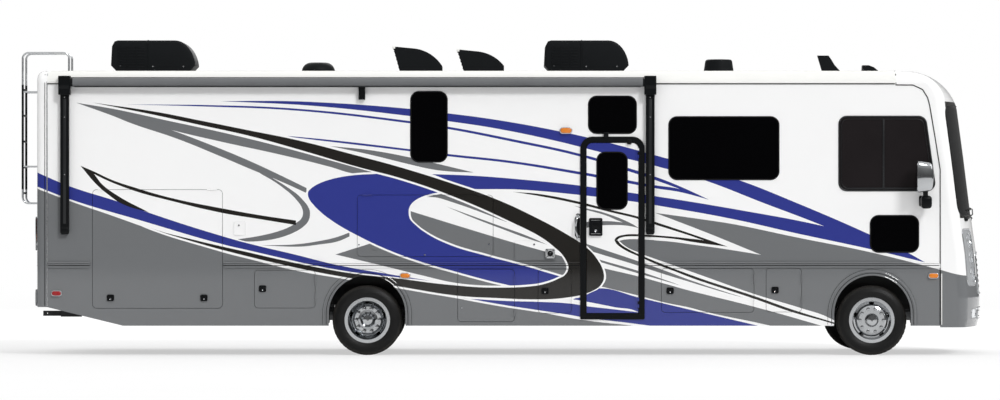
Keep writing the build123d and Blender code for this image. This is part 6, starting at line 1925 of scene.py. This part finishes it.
@dataclass
class RearFace(Assembly):
    """Blank plate with its lamp, bumper pad, seam and camera on the rear cap."""

    face: float = -5.642

    def build(self) -> None:
        """Fit the rear details."""
        x = self.face
        plate = Plate((-0.152, 0.872), (0.152, 1.026), 0.012).slab("blank_plate", x + 0.012, REAR_WAY, 0.003)
        rim = Plate((-0.160, 0.864), (0.160, 1.034), 0.014)
        lamp = bar("plate_lamp", (x - 0.018, -0.055, 1.046), (x + 0.002, 0.055, 1.072), 0.006, 3)
        pad = Plate((-1.14, 0.655), (1.14, 0.745), 0.03).slab("bumper_pad", x - 0.022, REAR_WAY, 0.006, 0.003)
        seam = tube("rear_cap_seam", ((x - 0.0005, -1.19, 1.09), (x - 0.0005, 1.19, 1.09)), 0.004, sides=2)
        camera = bar("rear_camera", (x - 0.06, -0.045, 3.19), (x + 0.002, 0.045, 3.25), 0.014, 4)
        eye = spun("rear_camera_lens", ((0.0, 0.0), (0.016, 0.0), (0.016, 0.006), (0.0, 0.009)),
                   (0.0, 0.0, 0.0), 24)
        turn = Matrix.Rotation(math.radians(90.0), 4, "Z")
        eye.data.transform(Matrix.Translation((x - 0.058, 0.0, 3.218)) @ turn)
        self.shop.fit((plate, Look.WHITE_ABS),
                      (rim.slab("plate_frame", x + 0.012, REAR_WAY, 0.006, 0.002, 0.010), Look.CHROME),
                      (lamp, Look.BLACK_ABS), (pad, Look.BLACK_ABS), (seam, Look.SEAL),
                      (camera, Look.BLACK_ABS),
                      (eye, Look.MIRROR))


@dataclass
class Cab(Assembly):
    """Upholstered seats in place of the plain ones, and the dash's vents."""

    seat_y: float = 0.560

    def pad(self, name: str, size: Vec3, crown: float, channels: tuple[float, ...]) -> Piece:
        """A crowned cushion lying flat, its middle at zero, with sewn channels across it.

        Args:
            name: Name of the cushion.
            size: Length along X, width along Y, thickness.
            crown: How far the middle of its faces swells.
            channels: Places of the sewn channels along its length, from -1 to 1.

        Returns:
            The cushion.
        """
        half = [s / 2 for s in size]
        piece = bar(name, [-h for h in half], half, 0.0)
        with editing(piece):
            select_whole()
            bpy.ops.mesh.subdivide(number_cuts=23)
        for vertex in piece.data.vertices:
            u, v, w = (vertex.co[i] / half[i] for i in range(3))
            swell = (1.0 - u ** 4) * (1.0 - v ** 4)
            groove = sum(math.exp(-((u - c) / 0.035) ** 2) for c in channels) * 0.010
            vertex.co.z += math.copysign(max(abs(w) * (crown * swell - groove * (1.0 - v ** 8)),
                                             -half[2] / 2), w)
            vertex.co.x -= math.copysign(0.10 * half[2] * abs(u) * (1.0 - v * v) * 0.6, u) * (1.0 - w * w)
            vertex.co.y -= math.copysign(0.10 * half[2] * abs(v) * (1.0 - u * u) * 0.6, v) * (1.0 - w * w)
        return modify(soften(piece, 0.022, 3), "SUBSURF", levels=1, render_levels=1)

    def seats(self) -> None:
        """Cushions, back and head pads of both seats, on their pedestals, with an armrest each."""
        lean, upright = math.atan2(0.120, 0.780), math.radians(90.0)
        for part, size, crown, channels, place, tilt in (
                ("cushion", (0.53, 0.50, 0.135), 0.018, (-0.45, 0.0, 0.45), (3.930, 0.0, 1.632), 0.0),
                ("back", (0.76, 0.46, 0.115), 0.016, (-0.55, -0.2, 0.15), (3.645, 0.0, 2.035),
                 upright + lean),
                ("head", (0.19, 0.25, 0.090), 0.012, (), (3.545, 0.0, 2.500), upright + lean / 2)):
            first = self.pad(f"seat_{part}", size, crown, channels)
            first.data.transform(Matrix.Translation(place) @ Matrix.Rotation(tilt, 4, "Y"))
            for word, side in SIDES.items():
                piece = copy_of(first, f"{word}_seat_{part}", (0.0, side * self.seat_y, 0.0))
                self.shop.dress(piece, Look.LEATHER, smooth=60.0)
                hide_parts("cab_seats")
            bpy.data.objects.remove(first)
        base = bar("kerb_seat_pedestal", (3.79, -0.76, 1.125), (4.09, -0.36, 1.548), 0.02, 3)
        arm = bar("kerb_seat_arm", (3.66, -0.33, 1.835), (4.02, -0.27, 1.895), 0.025, 4)
        post = bar("kerb_seat_post", (3.66, -0.312, 1.70), (3.71, -0.288, 1.84), 0.008)
        self.shop.fit((base, Look.DASH), (arm, Look.LEATHER), (post, Look.BLACK), node="cab_seats", both=True)

    def build(self) -> None:
        """Fit the seats and the three vents of the dash."""
        self.seats()
        for i, y in enumerate((-0.45, 0.0, 0.45)):
            vent = Plate((y - 0.09, 1.90), (y + 0.09, 1.98), 0.015)
            self.shop.dress(vent.slab(f"dash_vent_{i}", 4.765, REAR_WAY, 0.010, 0.002, 0.010), Look.BLACK_ABS)


def main() -> None:
    """Build the studio, the materials and the pieces in order."""
    logging.basicConfig(level=logging.INFO, format="%(name)s: %(message)s")
    Studio().build()
    shop = Shop()
    shop.dress_nodes()
    for assembly in (Tyres, WheelTrim, SideTrim, Windows, DoorHardware, Lamps, Awning, Mirrors, Ladder,
                     RoofFittings, FrontFace, RearFace, Cab):
        assembly(shop).build()
        log.info("built %s", assembly.__name__)
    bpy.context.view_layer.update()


if __name__ == "__main__":
    main()
